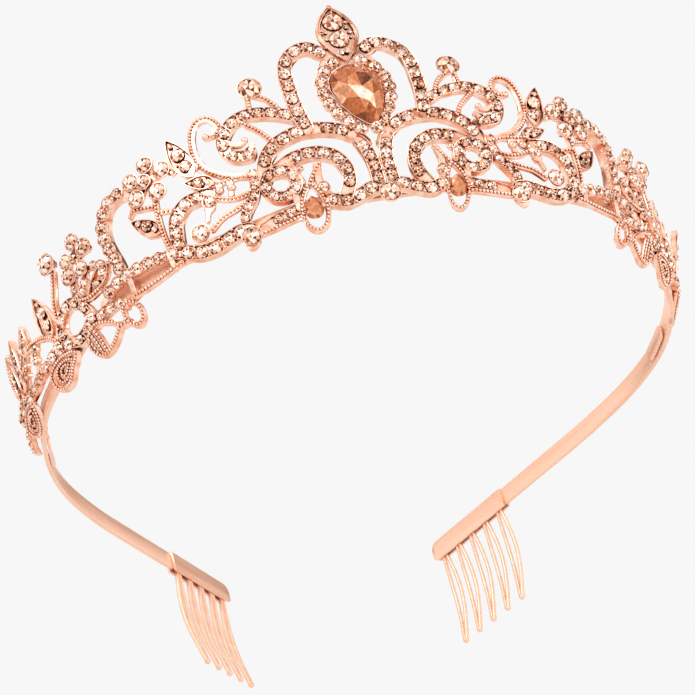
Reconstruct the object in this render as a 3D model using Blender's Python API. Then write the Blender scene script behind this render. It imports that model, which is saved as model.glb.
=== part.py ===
"""Bridal tiara: a spring headband with two side combs, filigree castings and set stones.

Frame: metres, +X to the wearer's left, +Y to the back of the head, +Z up along the
decoration. The origin is the middle of the headband's U, level with the lower edge of
its arms. The decoration is drawn flat, as it would lie on a bench, with s running round
the band from the front centre and z upwards, and is then bent on to the headband's wall.
"""
import bpy
import bmesh
from math import atan2, cos, sin, pi, radians
from mathutils import Vector
from mathutils.geometry import delaunay_2d_cdt

MM = 0.001                     # the sizes below are in millimetres

# Headband: arcs of ARC_RUN each, turning by BEND_DEG, then straight arms
ARC_RUN = 20.0
BEND_DEG = (7.0, 16.0, 21.0, 19.0, 17.5, 18.0, 15.0, 7.0)
ARM_END = 218.0
SEAT_BACK = 75.0               # from the front of the band to the origin
STRIP_THICK = 1.0
TONGUE_THICK = 0.8             # the strip's end, inside the comb sleeve, is cut narrower
TONGUE_LOW = 1.8
TONGUE_HIGH = 4.4
STRIP_HEIGHT = 4.7
STRIP_FRONT_HEIGHT = 3.5
STRIP_ARCH = 6.8               # the strip arches up by this much towards the front
STRIP_PEAK = 2.8               # and by this much more at its middle
STRIP_FRONT_INSET = -2.5       # and runs behind the castings there
ARCH_RUN = (50.0, 122.0)       # along s, where the arch comes down to the arms
PEAK_RUN = (12.0, 36.0)
WIDEN_RUN = (40.0, 110.0)      # and where the strip widens to its full height

# Decoration wall: leans outwards from the head as it rises
WALL_FOOT = -1.2
WALL_LEAN = 0.195
WALL_CURVE = -0.00194
WALL_END_SHIFT = 3.1           # further out beside the arms, where the strip comes forward
SHIFT_FROM = 78.0
SHIFT_TO = 104.0
CAST_THICK = 1.8
GAP = 0.35                     # clearance between neighbouring pieces
STEP = 2.6                     # length of one facet along a rail
WELD = 0.07                    # corners of a drawing nearer than this are one corner

# Pear stone
PEAR_HALF_WIDTH = 5.2
PEAR_TOP = 41.4
PEAR_TIP = 26.0
PEAR_HEIGHT = 3.6
PEAR_TILT = 7.0                # degrees, tip towards +s

# Side combs
RAIL_START = 188.0
RAIL_END = 218.6
RAIL_WALL = 0.45
RAIL_BOTTOM = -0.3
TOOTH_FIRST = 191.2
TOOTH_PITCH = 6.0
TOOTH_COUNT = 5
TOOTH_LENGTH = 26.0
TOOTH_BOW = 0.8                # outwards at mid length
TOOTH_CURL = 2.4               # inwards at the tip
TOOTH_NECK = 0.6               # from a tooth's middle to each of its wires, at the top
TOOTH_TIP = 0.45               # and at the tip
TOOTH_BELLY = 0.9              # and this much more halfway
TOOTH_BALL = 0.85
WIRE = 0.9

# Solder tabs on the inner face, from the arm to the end casting
TAB_START = (112.0, 3.0)
TAB_END = (119.5, 2.4)
TAB_WIDTH = 3.4
TAB_THICK = 0.6

NECK_PULL = 0.15               # how far two parts that touch at one corner are drawn apart


# Headband curve and wall

def bandPoint(s):
    """Plan position and heading of the headband at distance s from the front."""
    side = 1.0 if s >= 0 else -1.0
    left = abs(s)
    x = y = heading = 0.0
    for turn in BEND_DEG:
        run = min(left, ARC_RUN)
        if run <= 0:
            break
        radius = ARC_RUN / radians(turn)
        ahead = heading + run / radius
        x += radius * (sin(ahead) - sin(heading))
        y += radius * (cos(heading) - cos(ahead))
        heading = ahead
        left -= run
    x += left * cos(heading)
    y += left * sin(heading)
    return side * x, y, side * heading


def place(s, z, out):
    """A point z up and out millimetres outside the headband's line, in metres."""
    x, y, heading = bandPoint(s)
    return Vector((x + out * sin(heading), y - out * cos(heading) - SEAT_BACK, z)) * MM


def ease(value, low, high):
    t = min(max((value - low) / (high - low), 0.0), 1.0)
    return t * t * (3 - 2 * t)


def wallOut(s, z):
    return (WALL_FOOT + WALL_LEAN * z + WALL_CURVE * z * z
            + WALL_END_SHIFT * ease(abs(s), SHIFT_FROM, SHIFT_TO))


def stripShape(s):
    """Lower edge, upper edge and offset of the headband strip at s."""
    low = STRIP_ARCH * (1 - ease(abs(s), *ARCH_RUN)) + STRIP_PEAK * (1 - ease(abs(s), *PEAK_RUN))
    height = STRIP_FRONT_HEIGHT + (STRIP_HEIGHT - STRIP_FRONT_HEIGHT) * ease(abs(s), *WIDEN_RUN)
    return low, low + height, STRIP_FRONT_INSET * (1 - ease(abs(s), SHIFT_FROM, SHIFT_TO))


# Flat drawing tools

def smoothPath(points, closed=False):
    """Points every STEP along a smooth curve through the given ones."""
    count = len(points)
    last = count if closed else count - 1
    path = []
    for i in range(last):
        if closed:
            p = [Vector(points[(i + k) % count]) for k in (-1, 0, 1, 2)]
        else:
            p = [Vector(points[min(max(i + k, 0), count - 1)]) for k in (-1, 0, 1, 2)]
        cuts = max(1, round((p[2] - p[1]).length / STEP))
        for j in range(cuts):
            t = j / cuts
            path.append(0.5 * (2 * p[1] + (p[2] - p[0]) * t
                               + (2 * p[0] - 5 * p[1] + 4 * p[2] - p[3]) * t * t
                               + (3 * p[1] - p[0] - 3 * p[2] + p[3]) * t ** 3))
    if not closed:
        path.append(Vector(points[-1]))
    return path


def ribbon(points, width, closed=False, grow=0.0):
    """Quads of a rail of the given width along a smooth path."""
    path = smoothPath(points, closed)
    count = len(path)
    rims = []
    for i, here in enumerate(path):
        if closed:
            ahead = path[(i + 1) % count] - path[i - 1]
        else:
            ahead = path[min(i + 1, count - 1)] - path[max(i - 1, 0)]
        ahead.normalize()
        across = Vector((-ahead.y, ahead.x)) * (width / 2 + grow)
        reach = Vector((0, 0))
        if not closed and i in (0, count - 1):
            reach = ahead * ((0.3 * width + grow) * (1 if i else -1))
        rims.append((here + reach - across, here + reach + across))
    quads = []
    for i in range(count if closed else count - 1):
        a, b = rims[i], rims[(i + 1) % count]
        quads.append(turnedLeft([a[0], b[0], b[1], a[1]]))
    return quads


def turnedLeft(corners):
    """The corners in anticlockwise order about their middle."""
    middle = sum(corners, Vector((0, 0))) / len(corners)
    return sorted(corners, key=lambda p: atan2(p.y - middle.y, p.x - middle.x))


def disc(s, z, radius, grow=0.0, sides=10):
    turn = 2 * pi / sides
    reach = radius + grow
    return [Vector((s + reach * cos(i * turn), z + reach * sin(i * turn))) for i in range(sides)]


def grownOutline(points, grow):
    middle = sum((Vector(p) for p in points), Vector((0, 0))) / len(points)
    out = []
    for p in points:
        arm = Vector(p) - middle
        out.append(Vector(p) + arm.normalized() * grow)
    return out


def pearOutline(half, top, tip, sides=14):
    """Outline of a pear, round above and coming to a point below."""
    middle = top - half
    points = []
    for i in range(sides):
        angle = 2 * pi * i / sides - pi / 2
        below = max(0.0, -sin(angle))
        s = half * cos(angle) * (1 - 0.35 * below ** 2)
        z = middle + (half if sin(angle) > 0 else middle - tip) * sin(angle)
        points.append((s, z))
    return points


def flatFaces(drawing, grow=0.0, mirror=1.0):
    """All faces of one casting's drawing, before they are joined."""
    faces = []
    for width, points in drawing.get("rails", ()):
        faces += ribbon(points, width, False, grow)
    for width, points in drawing.get("loops", ()):
        faces += ribbon(points, width, True, grow)
    for outline in drawing.get("leaves", ()):
        faces.append(turnedLeft(grownOutline(outline, grow)))
    for s, z, radius in drawing.get("discs", ()):
        faces.append(disc(s, z, radius, grow))
    if mirror < 0:
        faces = [turnedLeft([Vector((-p.x, p.y)) for p in face]) for face in faces]
    return faces


def joinFlat(keep, drop):
    """Triangles covered by the keep faces and by none of the drop faces."""
    verts = []
    faces = []
    for face in keep + drop:
        faces.append(list(range(len(verts), len(verts) + len(face))))
        verts += face
    result = delaunay_2d_cdt(verts, [], faces, 1, 0.03, True)
    flatVerts, flatTris, sources = result[0], result[2], result[5]
    first = weldMap(flatVerts)
    limit = len(keep)
    chosen = []
    for tri, origins in zip(flatTris, sources):
        welded = tuple(first[v] for v in tri)
        if len(set(welded)) == 3 and origins and all(k < limit for k in origins):
            chosen.append(welded)
    return flatVerts, largestPatch(flatVerts, chosen)


def weldMap(verts):
    """For each point, the first point that lies within WELD of it."""
    first = []
    for i, here in enumerate(verts):
        match = i
        for j in range(i):
            if first[j] == j and abs(verts[j].x - here.x) < WELD:
                if (verts[j] - here).length < WELD:
                    match = j
                    break
        first.append(match)
    return first


def largestPatch(verts, tris):
    """The largest group of triangles that are joined edge to edge."""
    byEdge = {}
    for k, tri in enumerate(tris):
        for i in range(3):
            byEdge.setdefault(frozenset((tri[i], tri[(i + 1) % 3])), []).append(k)
    group = {}
    best, bestArea = [], 0.0
    for start in range(len(tris)):
        if start in group:
            continue
        group[start] = start
        stack, members, area = [start], [], 0.0
        while stack:
            k = stack.pop()
            members.append(k)
            a, b, c = (verts[v] for v in tris[k])
            area += abs((b - a).cross(c - a)) / 2
            for i in range(3):
                for other in byEdge[frozenset((tris[k][i], tris[k][(i + 1) % 3]))]:
                    if other not in group:
                        group[other] = start
                        stack.append(other)
        if area > bestArea:
            best, bestArea = members, area
    return [tris[k] for k in best]


def openPinches(tris):
    """Gives each fan of triangles its own corner where two fans only touch at a point."""
    fansAt = {}
    for k, tri in enumerate(tris):
        for v in tri:
            fansAt.setdefault(v, []).append(k)
    pinched = []
    for v, around in fansAt.items():
        left = set(around)
        fans = []
        while left:
            stack, fan = [left.pop()], []
            while stack:
                k = stack.pop()
                fan.append(k)
                near = [m for m in left if len(set(tris[m]) & set(tris[k])) > 1]
                left.difference_update(near)
                stack += near
            fans.append(fan)
        if len(fans) > 1:
            pinched.append((v, fans))
    return pinched


# Object tools

def finish(name, bm, material):
    bmesh.ops.recalc_face_normals(bm, faces=bm.faces)
    mesh = bpy.data.meshes.new(name)
    bm.to_mesh(mesh)
    bm.free()
    mesh.materials.append(material)
    piece = bpy.data.objects.new(name, mesh)
    bpy.context.scene.collection.objects.link(piece)
    return piece


def plate(name, keep, drop, material, thick=CAST_THICK, outAt=wallOut):
    """A casting of even thickness, drawn flat and bent on to the wall."""
    verts, tris = joinFlat(keep, drop)
    pinched = openPinches(tris)
    remap = {}
    points = [Vector(v) for v in verts]
    for v, fans in pinched:
        for fan in fans:
            middle = sum((points[i] for k in fan for i in tris[k]), Vector((0, 0)))
            middle /= 3 * len(fan)
            points.append(points[v] + (middle - points[v]).normalized() * NECK_PULL)
            for k in fan:
                remap[k, v] = len(points) - 1
    tris = [tuple(remap.get((k, v), v) for v in tri) for k, tri in enumerate(tris)]
    bm = bmesh.new()
    front, back = {}, {}
    for v in {i for tri in tris for i in tri}:
        s, z = points[v]
        out = outAt(s, z)
        front[v] = bm.verts.new(place(s, z, out + thick / 2))
        back[v] = bm.verts.new(place(s, z, out - thick / 2))
    uses = {}
    for tri in tris:
        bm.faces.new([front[v] for v in tri])
        bm.faces.new([back[v] for v in reversed(tri)])
        for i in range(3):
            a, b = tri[i], tri[(i + 1) % 3]
            uses.setdefault(frozenset((a, b)), []).append((a, b))
    for pair in uses.values():
        if len(pair) == 1:
            a, b = pair[0]
            bm.faces.new((front[a], back[a], back[b], front[b]))
    return finish(name, bm, material)


def lift(outline, s, z, out):
    """Puts flat points, drawn about (s, z), on a plane that faces out of the wall."""
    centre = place(s, z, out)
    right = (place(s + 0.5, z, wallOut(s, z)) - place(s - 0.5, z, wallOut(s, z))).normalized()
    up = place(s, z + 0.5, wallOut(s, z + 0.5)) - place(s, z - 0.5, wallOut(s, z - 0.5))
    up = (up - right * up.dot(right)).normalized()
    face = right.cross(up)
    return [centre + (right * a + up * b + face * c) * MM for a, b, c in outline]


def stone(name, s, z, outline, height, material, girdle=0.45, table=0.55, foot=0.6):
    """A cut stone: a foot, a girdle and a flat table over the given outline."""
    rings = ((foot, 0.0), (1.0, girdle * height), (table, height))
    out = wallOut(s, z) + CAST_THICK / 2 + GAP
    bm = bmesh.new()
    loops = []
    for scale, rise in rings:
        flat = [(a * scale, b * scale, rise) for a, b in outline]
        loops.append([bm.verts.new(p) for p in lift(flat, s, z, out)])
    bm.faces.new(list(reversed(loops[0])))
    bm.faces.new(loops[-1])
    for low, high in zip(loops, loops[1:]):
        for i in range(len(low)):
            j = (i + 1) % len(low)
            bm.faces.new((low[i], low[j], high[j], high[i]))
    return finish(name, bm, material)


def roundStone(name, s, z, radius, material):
    outline = [(p.x, p.y) for p in disc(0, 0, radius, sides=8)]
    return stone(name, s, z, outline, 0.95 * radius, material)


def sweep(name, stations, material):
    """A solid through matching rings of points."""
    bm = bmesh.new()
    loops = [[bm.verts.new(p) for p in ring] for ring in stations]
    bm.faces.new(list(reversed(loops[0])))
    bm.faces.new(loops[-1])
    for a, b in zip(loops, loops[1:]):
        for i in range(len(a)):
            j = (i + 1) % len(a)
            bm.faces.new((a[i], a[j], b[j], b[i]))
    return finish(name, bm, material)


def paint(name, colour, roughness, metallic):
    material = bpy.data.materials.new(name)
    material.use_nodes = True
    shader = material.node_tree.nodes["Principled BSDF"]
    shader.inputs["Base Color"].default_value = (*colour, 1.0)
    shader.inputs["Roughness"].default_value = roughness
    shader.inputs["Metallic"].default_value = metallic
    return material


# Drawings of the castings, in millimetres, for the side where s is positive

centreFiligree = {
    "rails": [
        (2.9, [(3.4, 44.8), (5.0, 46.3), (6.9, 48.1), (9.8, 48.0), (12.4, 45.6), (13.5, 42.0),
               (13.6, 35.3), (13.3, 31.8), (12.9, 28.0)]),                       # arch
        (2.6, [(3.2, 44.4), (5.2, 43.2), (5.9, 40.8)]),                          # arch to halo
        (2.6, [(0.0, 43.9), (2.8, 42.5), (5.8, 40.0), (6.7, 36.3), (6.5, 33.0), (4.8, 29.0),
               (2.4, 26.0), (0.0, 24.2)]),                                       # halo
        (2.6, [(1.0, 12.5), (1.2, 17.0), (1.8, 20.0), (2.8, 23.0), (5.3, 25.3), (8.3, 26.6),
               (11.3, 27.2), (14.5, 27.1), (17.7, 26.1), (21.0, 24.2), (22.7, 21.6),
               (23.6, 18.6)]),                                                   # large arc
        (2.8, [(8.6, 10.0), (7.3, 13.6), (7.5, 17.0), (9.1, 19.7), (12.0, 21.4), (15.0, 21.5),
               (18.0, 20.6), (20.7, 19.0)]),                                     # inner scroll
        (1.6, [(12.9, 18.2), (13.3, 15.0), (12.7, 12.3), (11.6, 10.0)]),         # oval hole side
        (1.6, [(17.9, 20.2), (17.3, 17.6), (16.6, 15.2)]),
        (1.1, [(12.4, 18.4), (14.3, 15.9), (15.3, 13.8)]),                       # drop stem
        (2.6, [(0.0, 10.6), (2.8, 9.6), (5.5, 9.3), (8.8, 8.9), (11.6, 9.9)]),   # lower border
        (2.4, [(17.9, 9.6), (20.0, 8.9), (23.0, 7.9), (26.2, 7.2)]),
        (1.6, [(18.9, 13.2), (18.4, 11.4), (18.4, 9.4)]),
        (2.0, [(-1.4, 12.6), (1.4, 12.6)]),
    ],
    "loops": [
        (2.5, [(20.7 + 3.1 * cos(k * pi / 4), 15.8 + 3.1 * sin(k * pi / 4))
               for k in range(8)]),                                              # ring
        (1.1, [(15.3, 14.3), (17.2, 11.7), (18.2, 8.6), (17.3, 5.9), (15.4, 4.9),
               (13.6, 6.1), (12.9, 8.9), (13.8, 12.0)]),                         # drop
    ],
    "leaves": [pearOutline(5.5, 42.4, 26.2)],
    "discs": [(0.0, 8.6, 2.2), (15.6, 9.4, 2.3)],
}

scrollPanel = {
    "rails": [
        (2.7, [(15.4, 31.3), (16.5, 32.3), (18.5, 33.1), (21.0, 33.8), (23.3, 34.0), (25.6, 33.5),
               (28.0, 31.9), (29.3, 29.5), (29.2, 26.6), (27.9, 24.6), (25.6, 23.8)]),
        (1.5, [(25.4, 24.0), (24.2, 25.6)]),                                     # scroll tip
        (1.3, [(28.6, 30.4), (27.3, 29.6), (26.6, 28.2)]),                       # hook
        (1.5, [(28.4, 31.0), (30.6, 32.6)]),                                     # to the crescent
        (1.1, [(20.0, 25.9), (21.0, 27.8), (22.5, 29.8), (24.8, 32.2)]),
        (1.3, [(21.0, 38.4), (19.0, 37.0), (17.3, 34.6), (16.7, 32.6)]),         # stalks
        (1.3, [(22.5, 37.6), (22.6, 34.4)]),
        (1.4, [(32.4, 31.6), (30.6, 31.9), (30.2, 34.2), (31.5, 36.0), (33.3, 36.2), (35.1, 34.6),
               (36.1, 31.4), (35.8, 27.0), (34.0, 23.5), (31.0, 21.0), (28.0, 19.8),
               (25.4, 19.3)]),                                                   # crescent
        (1.5, [(35.4, 26.6), (37.6, 24.4)]),
        (1.4, [(37.2, 24.4), (35.6, 22.0)]),
        (1.2, [(29.0, 19.9), (32.0, 19.9), (34.6, 20.2)]),
        (1.2, [(25.0, 17.2), (27.5, 15.8), (30.0, 15.4), (32.5, 16.0), (35.0, 17.4),
               (36.8, 18.6)]),
        (1.2, [(28.6, 13.4), (32.0, 12.5), (34.5, 11.6), (37.6, 10.4)]),
        (2.3, [(25.6, 19.6), (25.8, 16.4), (27.2, 14.0), (29.0, 12.0), (30.0, 9.8), (29.4, 7.6)]),
        (1.1, [(31.0, 19.8), (30.9, 17.4)]),                                     # thorn
        (1.9, [(34.4, 19.4), (35.4, 16.6), (36.3, 13.8), (36.9, 10.8)]),
        (2.5, [(35.8, 18.7), (38.3, 18.4), (41.0, 17.3), (43.0, 15.2), (43.8, 12.4), (43.9, 9.6),
               (43.0, 7.4)]),                                                    # C scroll
        (2.6, [(29.4, 7.6), (31.3, 7.4), (33.6, 6.9), (36.5, 6.3), (39.5, 6.2), (42.3, 6.9),
               (44.4, 8.0)]),                                                    # border
        (1.0, [(29.3, 4.4), (29.3, 3.0)]),
    ],
    "leaves": [
        [(37.6, 23.5), (36.9, 26.6), (38.0, 30.6), (40.8, 34.2), (41.4, 31.0), (40.8, 27.5),
         (39.3, 24.8)],
        [(33.6, 20.4), (35.2, 22.5), (37.5, 23.0), (39.9, 22.3), (38.6, 20.2), (36.5, 19.2),
         (34.6, 19.4)],
    ],
    "discs": [(21.5, 40.2, 2.9), (29.3, 5.9, 2.2), (39.3, 10.3, 2.1)],
}

flowerSpray = {
    "rails": [
        (1.5, [(46.4, 30.6), (47.5, 27.0)]),
        (1.5, [(43.4, 27.8), (47.5, 26.6)]),
        (1.5, [(50.3, 28.2), (47.6, 26.0)]),
        (1.5, [(45.6, 23.6), (47.6, 26.0)]),
        (1.5, [(50.0, 24.0), (47.6, 26.0)]),
        (1.3, [(50.8, 23.4), (52.6, 21.2)]),                                     # spur
        (1.3, [(46.0, 23.0), (46.9, 18.0), (46.8, 14.0), (46.3, 9.4)]),          # stem
        (1.1, [(46.7, 19.0), (44.8, 18.2)]),
        (2.5, [(51.4, 27.4), (53.5, 27.9), (56.0, 27.6), (58.4, 25.8), (59.6, 23.2), (59.9, 20.5),
               (59.4, 17.5), (58.8, 14.5), (58.5, 12.0), (58.5, 9.8)]),          # C curve
        (2.3, [(46.2, 8.8), (50.0, 9.3), (53.0, 9.6), (56.0, 9.7), (59.0, 9.7), (62.0, 9.3),
               (65.5, 8.2)]),                                                    # base rail
        (1.3, [(46.3, 5.6), (49.5, 5.1), (53.0, 4.9), (57.4, 4.8)]),
        (1.3, [(46.9, 8.6), (46.6, 5.8)]),
        (1.3, [(57.2, 9.4), (57.2, 5.0)]),
    ],
    "leaves": [
        [(46.9, 13.6), (47.2, 16.0), (49.0, 18.4), (52.5, 20.1), (51.9, 17.4), (50.0, 15.0),
         (48.0, 13.8)],
    ],
    "discs": [(46.4, 30.8, 1.9), (43.3, 27.9, 2.0), (50.4, 28.3, 2.0), (47.7, 26.0, 1.7),
              (45.6, 23.5, 2.1), (50.0, 23.9, 2.0)],
}

sideSpray = {
    "rails": [
        (1.5, [(65.8, 22.0), (69.8, 22.2)]),
        (1.5, [(68.3, 25.0), (69.8, 22.2)]),
        (1.5, [(67.5, 18.0), (69.8, 22.2)]),
        (1.5, [(72.3, 19.4), (69.8, 22.2)]),
        (1.4, [(77.3, 24.0), (78.6, 20.2), (80.2, 16.8), (80.2, 13.4), (79.2, 11.0)]),
        (2.0, [(72.4, 17.8), (72.6, 15.4), (72.0, 13.0)]),
        (2.0, [(67.8, 17.0), (69.0, 14.8), (71.0, 12.4)]),
        (1.6, [(66.6, 17.0), (64.0, 15.9), (61.8, 15.0)]),
        (1.8, [(66.0, 11.6), (68.6, 11.4), (70.8, 12.2)]),
        (2.2, [(60.6, 5.4), (63.6, 5.6), (67.0, 6.0), (70.6, 7.6)]),
        (1.6, [(60.4, 3.6), (61.6, 5.4)]),
        (1.4, [(61.6, 1.8), (64.8, 2.2)]),
        (1.8, [(70.4, 4.4), (71.6, 6.6)]),
        (2.2, [(78.6, 6.6), (82.0, 7.9), (85.0, 8.2), (88.0, 8.3)]),
    ],
    "loops": [
        (2.3, [(70.4, 9.2), (72.4, 6.3), (75.6, 5.8), (78.5, 7.0), (79.5, 10.0), (77.2, 13.0),
               (72.6, 13.2)]),                                                   # ring
        (1.3, [(59.5 + 2.3 * cos(k * pi / 4), 1.6 + 2.3 * sin(k * pi / 4)) for k in range(8)]),
        (1.6, [(64.6, 2.2), (67.0, 0.3), (70.0, -0.9), (72.7, 0.8), (72.2, 3.4), (69.5, 4.6),
               (66.8, 3.9)]),                                                    # fan loop
        (1.4, [(80.2, 5.2), (84.0, 3.2), (88.0, 1.6), (90.9, 2.4), (91.0, 5.0), (87.6, 6.2),
               (83.6, 6.4)]),
    ],
    "leaves": [
        [(60.9, 15.4), (63.6, 15.2), (66.2, 13.4), (68.2, 11.2), (65.0, 10.9), (62.2, 12.4)],
    ],
    "discs": [(65.8, 22.0, 2.0), (68.3, 25.0, 2.0), (67.5, 17.9, 1.8), (72.3, 19.3, 2.1),
              (69.8, 22.2, 1.6), (77.5, 26.0, 2.7)],
}

endSpray = {
    "rails": [
        (1.4, [(82.6, 10.6), (85.0, 12.0), (88.0, 13.9), (91.0, 15.4), (94.4, 16.8)]),
        (2.4, [(82.2, 10.8), (86.0, 9.0), (91.0, 8.7), (95.0, 8.7), (99.0, 8.4), (103.0, 8.0),
               (107.0, 7.4), (112.0, 6.6), (117.0, 5.6)]),                       # base rail
        (2.2, [(89.6, 14.2), (92.5, 13.0), (94.6, 11.4), (96.0, 9.4)]),
        (1.9, [(95.6, 15.6), (98.0, 12.6), (101.2, 9.6)]),
        (1.2, [(99.0, 13.4), (97.2, 16.2)]),
    ],
    "loops": [
        (1.4, [(99.6, 5.9), (101.6, 2.9), (105.4, 1.8), (109.0, 3.0), (109.6, 5.8),
               (104.6, 7.0)]),                                                   # fan loop
    ],
    "leaves": [
        [(83.9, 11.6), (82.8, 15.8), (83.8, 20.0), (86.4, 23.0), (87.9, 20.0), (87.6, 16.4),
         (86.0, 12.8)],
        [(94.9, 14.2), (92.9, 15.6), (91.8, 18.2), (92.4, 20.9), (94.4, 19.4), (95.4, 16.8)],
        [(100.4, 9.0), (98.6, 13.6), (98.0, 18.0), (99.0, 21.8), (100.8, 18.0), (101.6, 13.6),
         (102.0, 9.0)],
        [(102.6, 8.2), (103.2, 13.0), (103.8, 17.6), (104.4, 21.4), (106.6, 19.0), (107.4, 15.6),
         (106.4, 11.6), (104.8, 8.0)],
    ],
    "discs": [(110.6, 8.6, 2.4)],
}

crestLeaf = {
    "leaves": [[(0.0, 44.0), (2.4, 46.6), (3.8, 50.2), (3.9, 53.4), (2.6, 56.4), (0.0, 59.2),
                (-2.6, 56.4), (-3.9, 53.4), (-3.8, 50.2), (-2.4, 46.6)]],
}

# Set stones: s, z and radius
sideStones = {
    "stalk_stone": (21.5, 40.2, 2.5),
    "drop_stone": (15.6, 9.4, 2.0),
    "border_stone": (29.3, 5.9, 1.8),
    "scroll_stone": (39.3, 10.3, 1.8),
    "flower_stone_1": (46.4, 30.8, 1.7),
    "flower_stone_2": (43.3, 27.9, 1.8),
    "flower_stone_3": (50.4, 28.3, 1.8),
    "flower_stone_4": (47.7, 26.0, 1.3),
    "flower_stone_5": (45.6, 23.5, 1.9),
    "flower_stone_6": (50.0, 23.9, 1.8),
    "spray_stone_1": (65.8, 22.0, 1.8),
    "spray_stone_2": (68.3, 25.0, 1.8),
    "spray_stone_3": (67.5, 17.9, 1.7),
    "spray_stone_4": (72.3, 19.3, 1.9),
    "spray_stone_5": (77.5, 26.0, 2.4),
}
axisStones = {
    "crest_stone_upper": (0.0, 54.2, 2.1),
    "crest_stone_lower": (0.0, 48.9, 2.0),
    "bottom_stone": (0.0, 8.9, 2.0),
}


# Pieces

def makeStrip(metal):
    """The spring strip that goes round the head."""
    shoulder = RAIL_START - GAP
    stops = [6.0 * i for i in range(1, 27)] + [160.0, shoulder, shoulder + 0.1, ARM_END]
    stops = [-s for s in reversed(stops)] + [0.0] + stops
    stations = []
    for s in stops:
        low, high, out = stripShape(s)
        half = STRIP_THICK / 2
        if abs(s) > shoulder:
            low, high, half = TONGUE_LOW, TONGUE_HIGH, TONGUE_THICK / 2
        corners = ((low, out - half), (low, out + half), (high, out + half), (high, out - half))
        stations.append([place(s, z, o) for z, o in corners])
    sweep("headband_strip", stations, metal)


def makeCombRail(name, side, metal):
    """A sleeve folded over the arm's end, open below for the teeth."""
    inner = STRIP_THICK / 2 + GAP
    outer = inner + RAIL_WALL
    roof = TONGUE_HIGH + GAP
    section = ((-outer, RAIL_BOTTOM), (-outer, roof + RAIL_WALL), (outer, roof + RAIL_WALL),
               (outer, RAIL_BOTTOM), (inner, RAIL_BOTTOM), (inner, roof), (-inner, roof),
               (-inner, RAIL_BOTTOM))
    stations = []
    for s in (RAIL_START, RAIL_END):
        stations.append([place(side * s, z, o) for o, z in section])
    sweep(name, stations, metal)


def makeTooth(name, side, s, metal):
    """A hairpin of wire: up from the tip, over and back down."""
    top = TONGUE_LOW - GAP - WIRE / 2 - TOOTH_NECK
    tip = -TOOTH_LENGTH
    leg = []
    for i in range(6):
        t = i / 5
        half = TOOTH_TIP + (TOOTH_NECK - TOOTH_TIP) * t + TOOTH_BELLY * sin(pi * t)
        leg.append((half, tip + (top - tip) * t))
    arch = [(s + TOOTH_NECK * cos(a), top + TOOTH_NECK * sin(a))
            for a in (pi, 0.68 * pi, 0.32 * pi, 0.0)]
    pin = {"rails": [(WIRE, [(s - a, z) for a, z in leg]), (WIRE, [(s + a, z) for a, z in leg]),
                     (WIRE, arch)],
           "discs": [(s, tip, TOOTH_BALL)]}

    def bow(where, z):
        down = min(max(z / tip, 0.0), 1.0)
        return TOOTH_BOW * sin(pi * down) ** 1.3 - TOOTH_CURL * down ** 2

    plate(name, flatFaces(pin, mirror=side), [], metal, WIRE, bow)


def makeTab(name, side, metal):
    """A round-ended tab on the inner face, where arm and casting are soldered."""
    outline = {"rails": [(TAB_WIDTH, [TAB_START, TAB_END])],
               "discs": [(*TAB_START, TAB_WIDTH / 2 + 0.1)]}

    def inside(s, z):
        return stripShape(s)[2] - (STRIP_THICK + TAB_THICK) / 2 - GAP

    plate(name, flatFaces(outline, mirror=side), [], metal, TAB_THICK, inside)


def main():
    for old in list(bpy.data.objects):
        bpy.data.objects.remove(old, do_unlink=True)
    metal = paint("rose_gold", (0.80, 0.44, 0.30), 0.25, 1.0)
    satin = paint("satin_rose_gold", (0.84, 0.50, 0.36), 0.35, 1.0)
    pale = paint("pale_rhinestone", (0.93, 0.76, 0.66), 0.05, 0.0)
    deep = paint("peach_crystal", (0.50, 0.20, 0.11), 0.05, 0.0)

    makeStrip(satin)
    centre = flatFaces(centreFiligree) + flatFaces(centreFiligree, mirror=-1)
    centreCut = flatFaces(centreFiligree, GAP) + flatFaces(centreFiligree, GAP, -1)
    plate("centre_filigree", centre, [], metal)
    plate("crest_leaf_cup", flatFaces(crestLeaf), centreCut, metal)

    chain = (("scroll_panel", scrollPanel), ("flower_spray", flowerSpray),
             ("side_spray", sideSpray), ("end_spray", endSpray))
    for label, side in (("left", -1), ("right", 1)):
        cut = centreCut
        for what, drawing in chain:
            plate(f"{label}_{what}", flatFaces(drawing, mirror=side), cut, metal)
            cut = flatFaces(drawing, GAP, side)
        for what, (s, z, radius) in sideStones.items():
            roundStone(f"{label}_{what}", side * s, z, radius, pale)
        makeCombRail(f"{label}_comb_rail", side, satin)
        for k in range(TOOTH_COUNT):
            where = TOOTH_FIRST + k * TOOTH_PITCH
            makeTooth(f"{label}_comb_tooth_{k + 1}", side, where, satin)
        makeTab(f"{label}_solder_tab", side, satin)
    for what, (s, z, radius) in axisStones.items():
        roundStone(what, s, z, radius, pale)
    middle = (PEAR_TOP + PEAR_TIP) / 2
    turn = radians(PEAR_TILT)
    pear = [(s * cos(turn) - (z - middle) * sin(turn), s * sin(turn) + (z - middle) * cos(turn))
            for s, z in pearOutline(PEAR_HALF_WIDTH, PEAR_TOP, PEAR_TIP)]
    stone("pear_stone", 0.0, middle, pear, PEAR_HEIGHT, deep, 0.5, 0.5, 0.75)


main()
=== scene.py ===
from math import cos, exp, pi, radians, sin

import bmesh
import bpy
import numpy as np
from mathutils import Matrix, Vector


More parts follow.
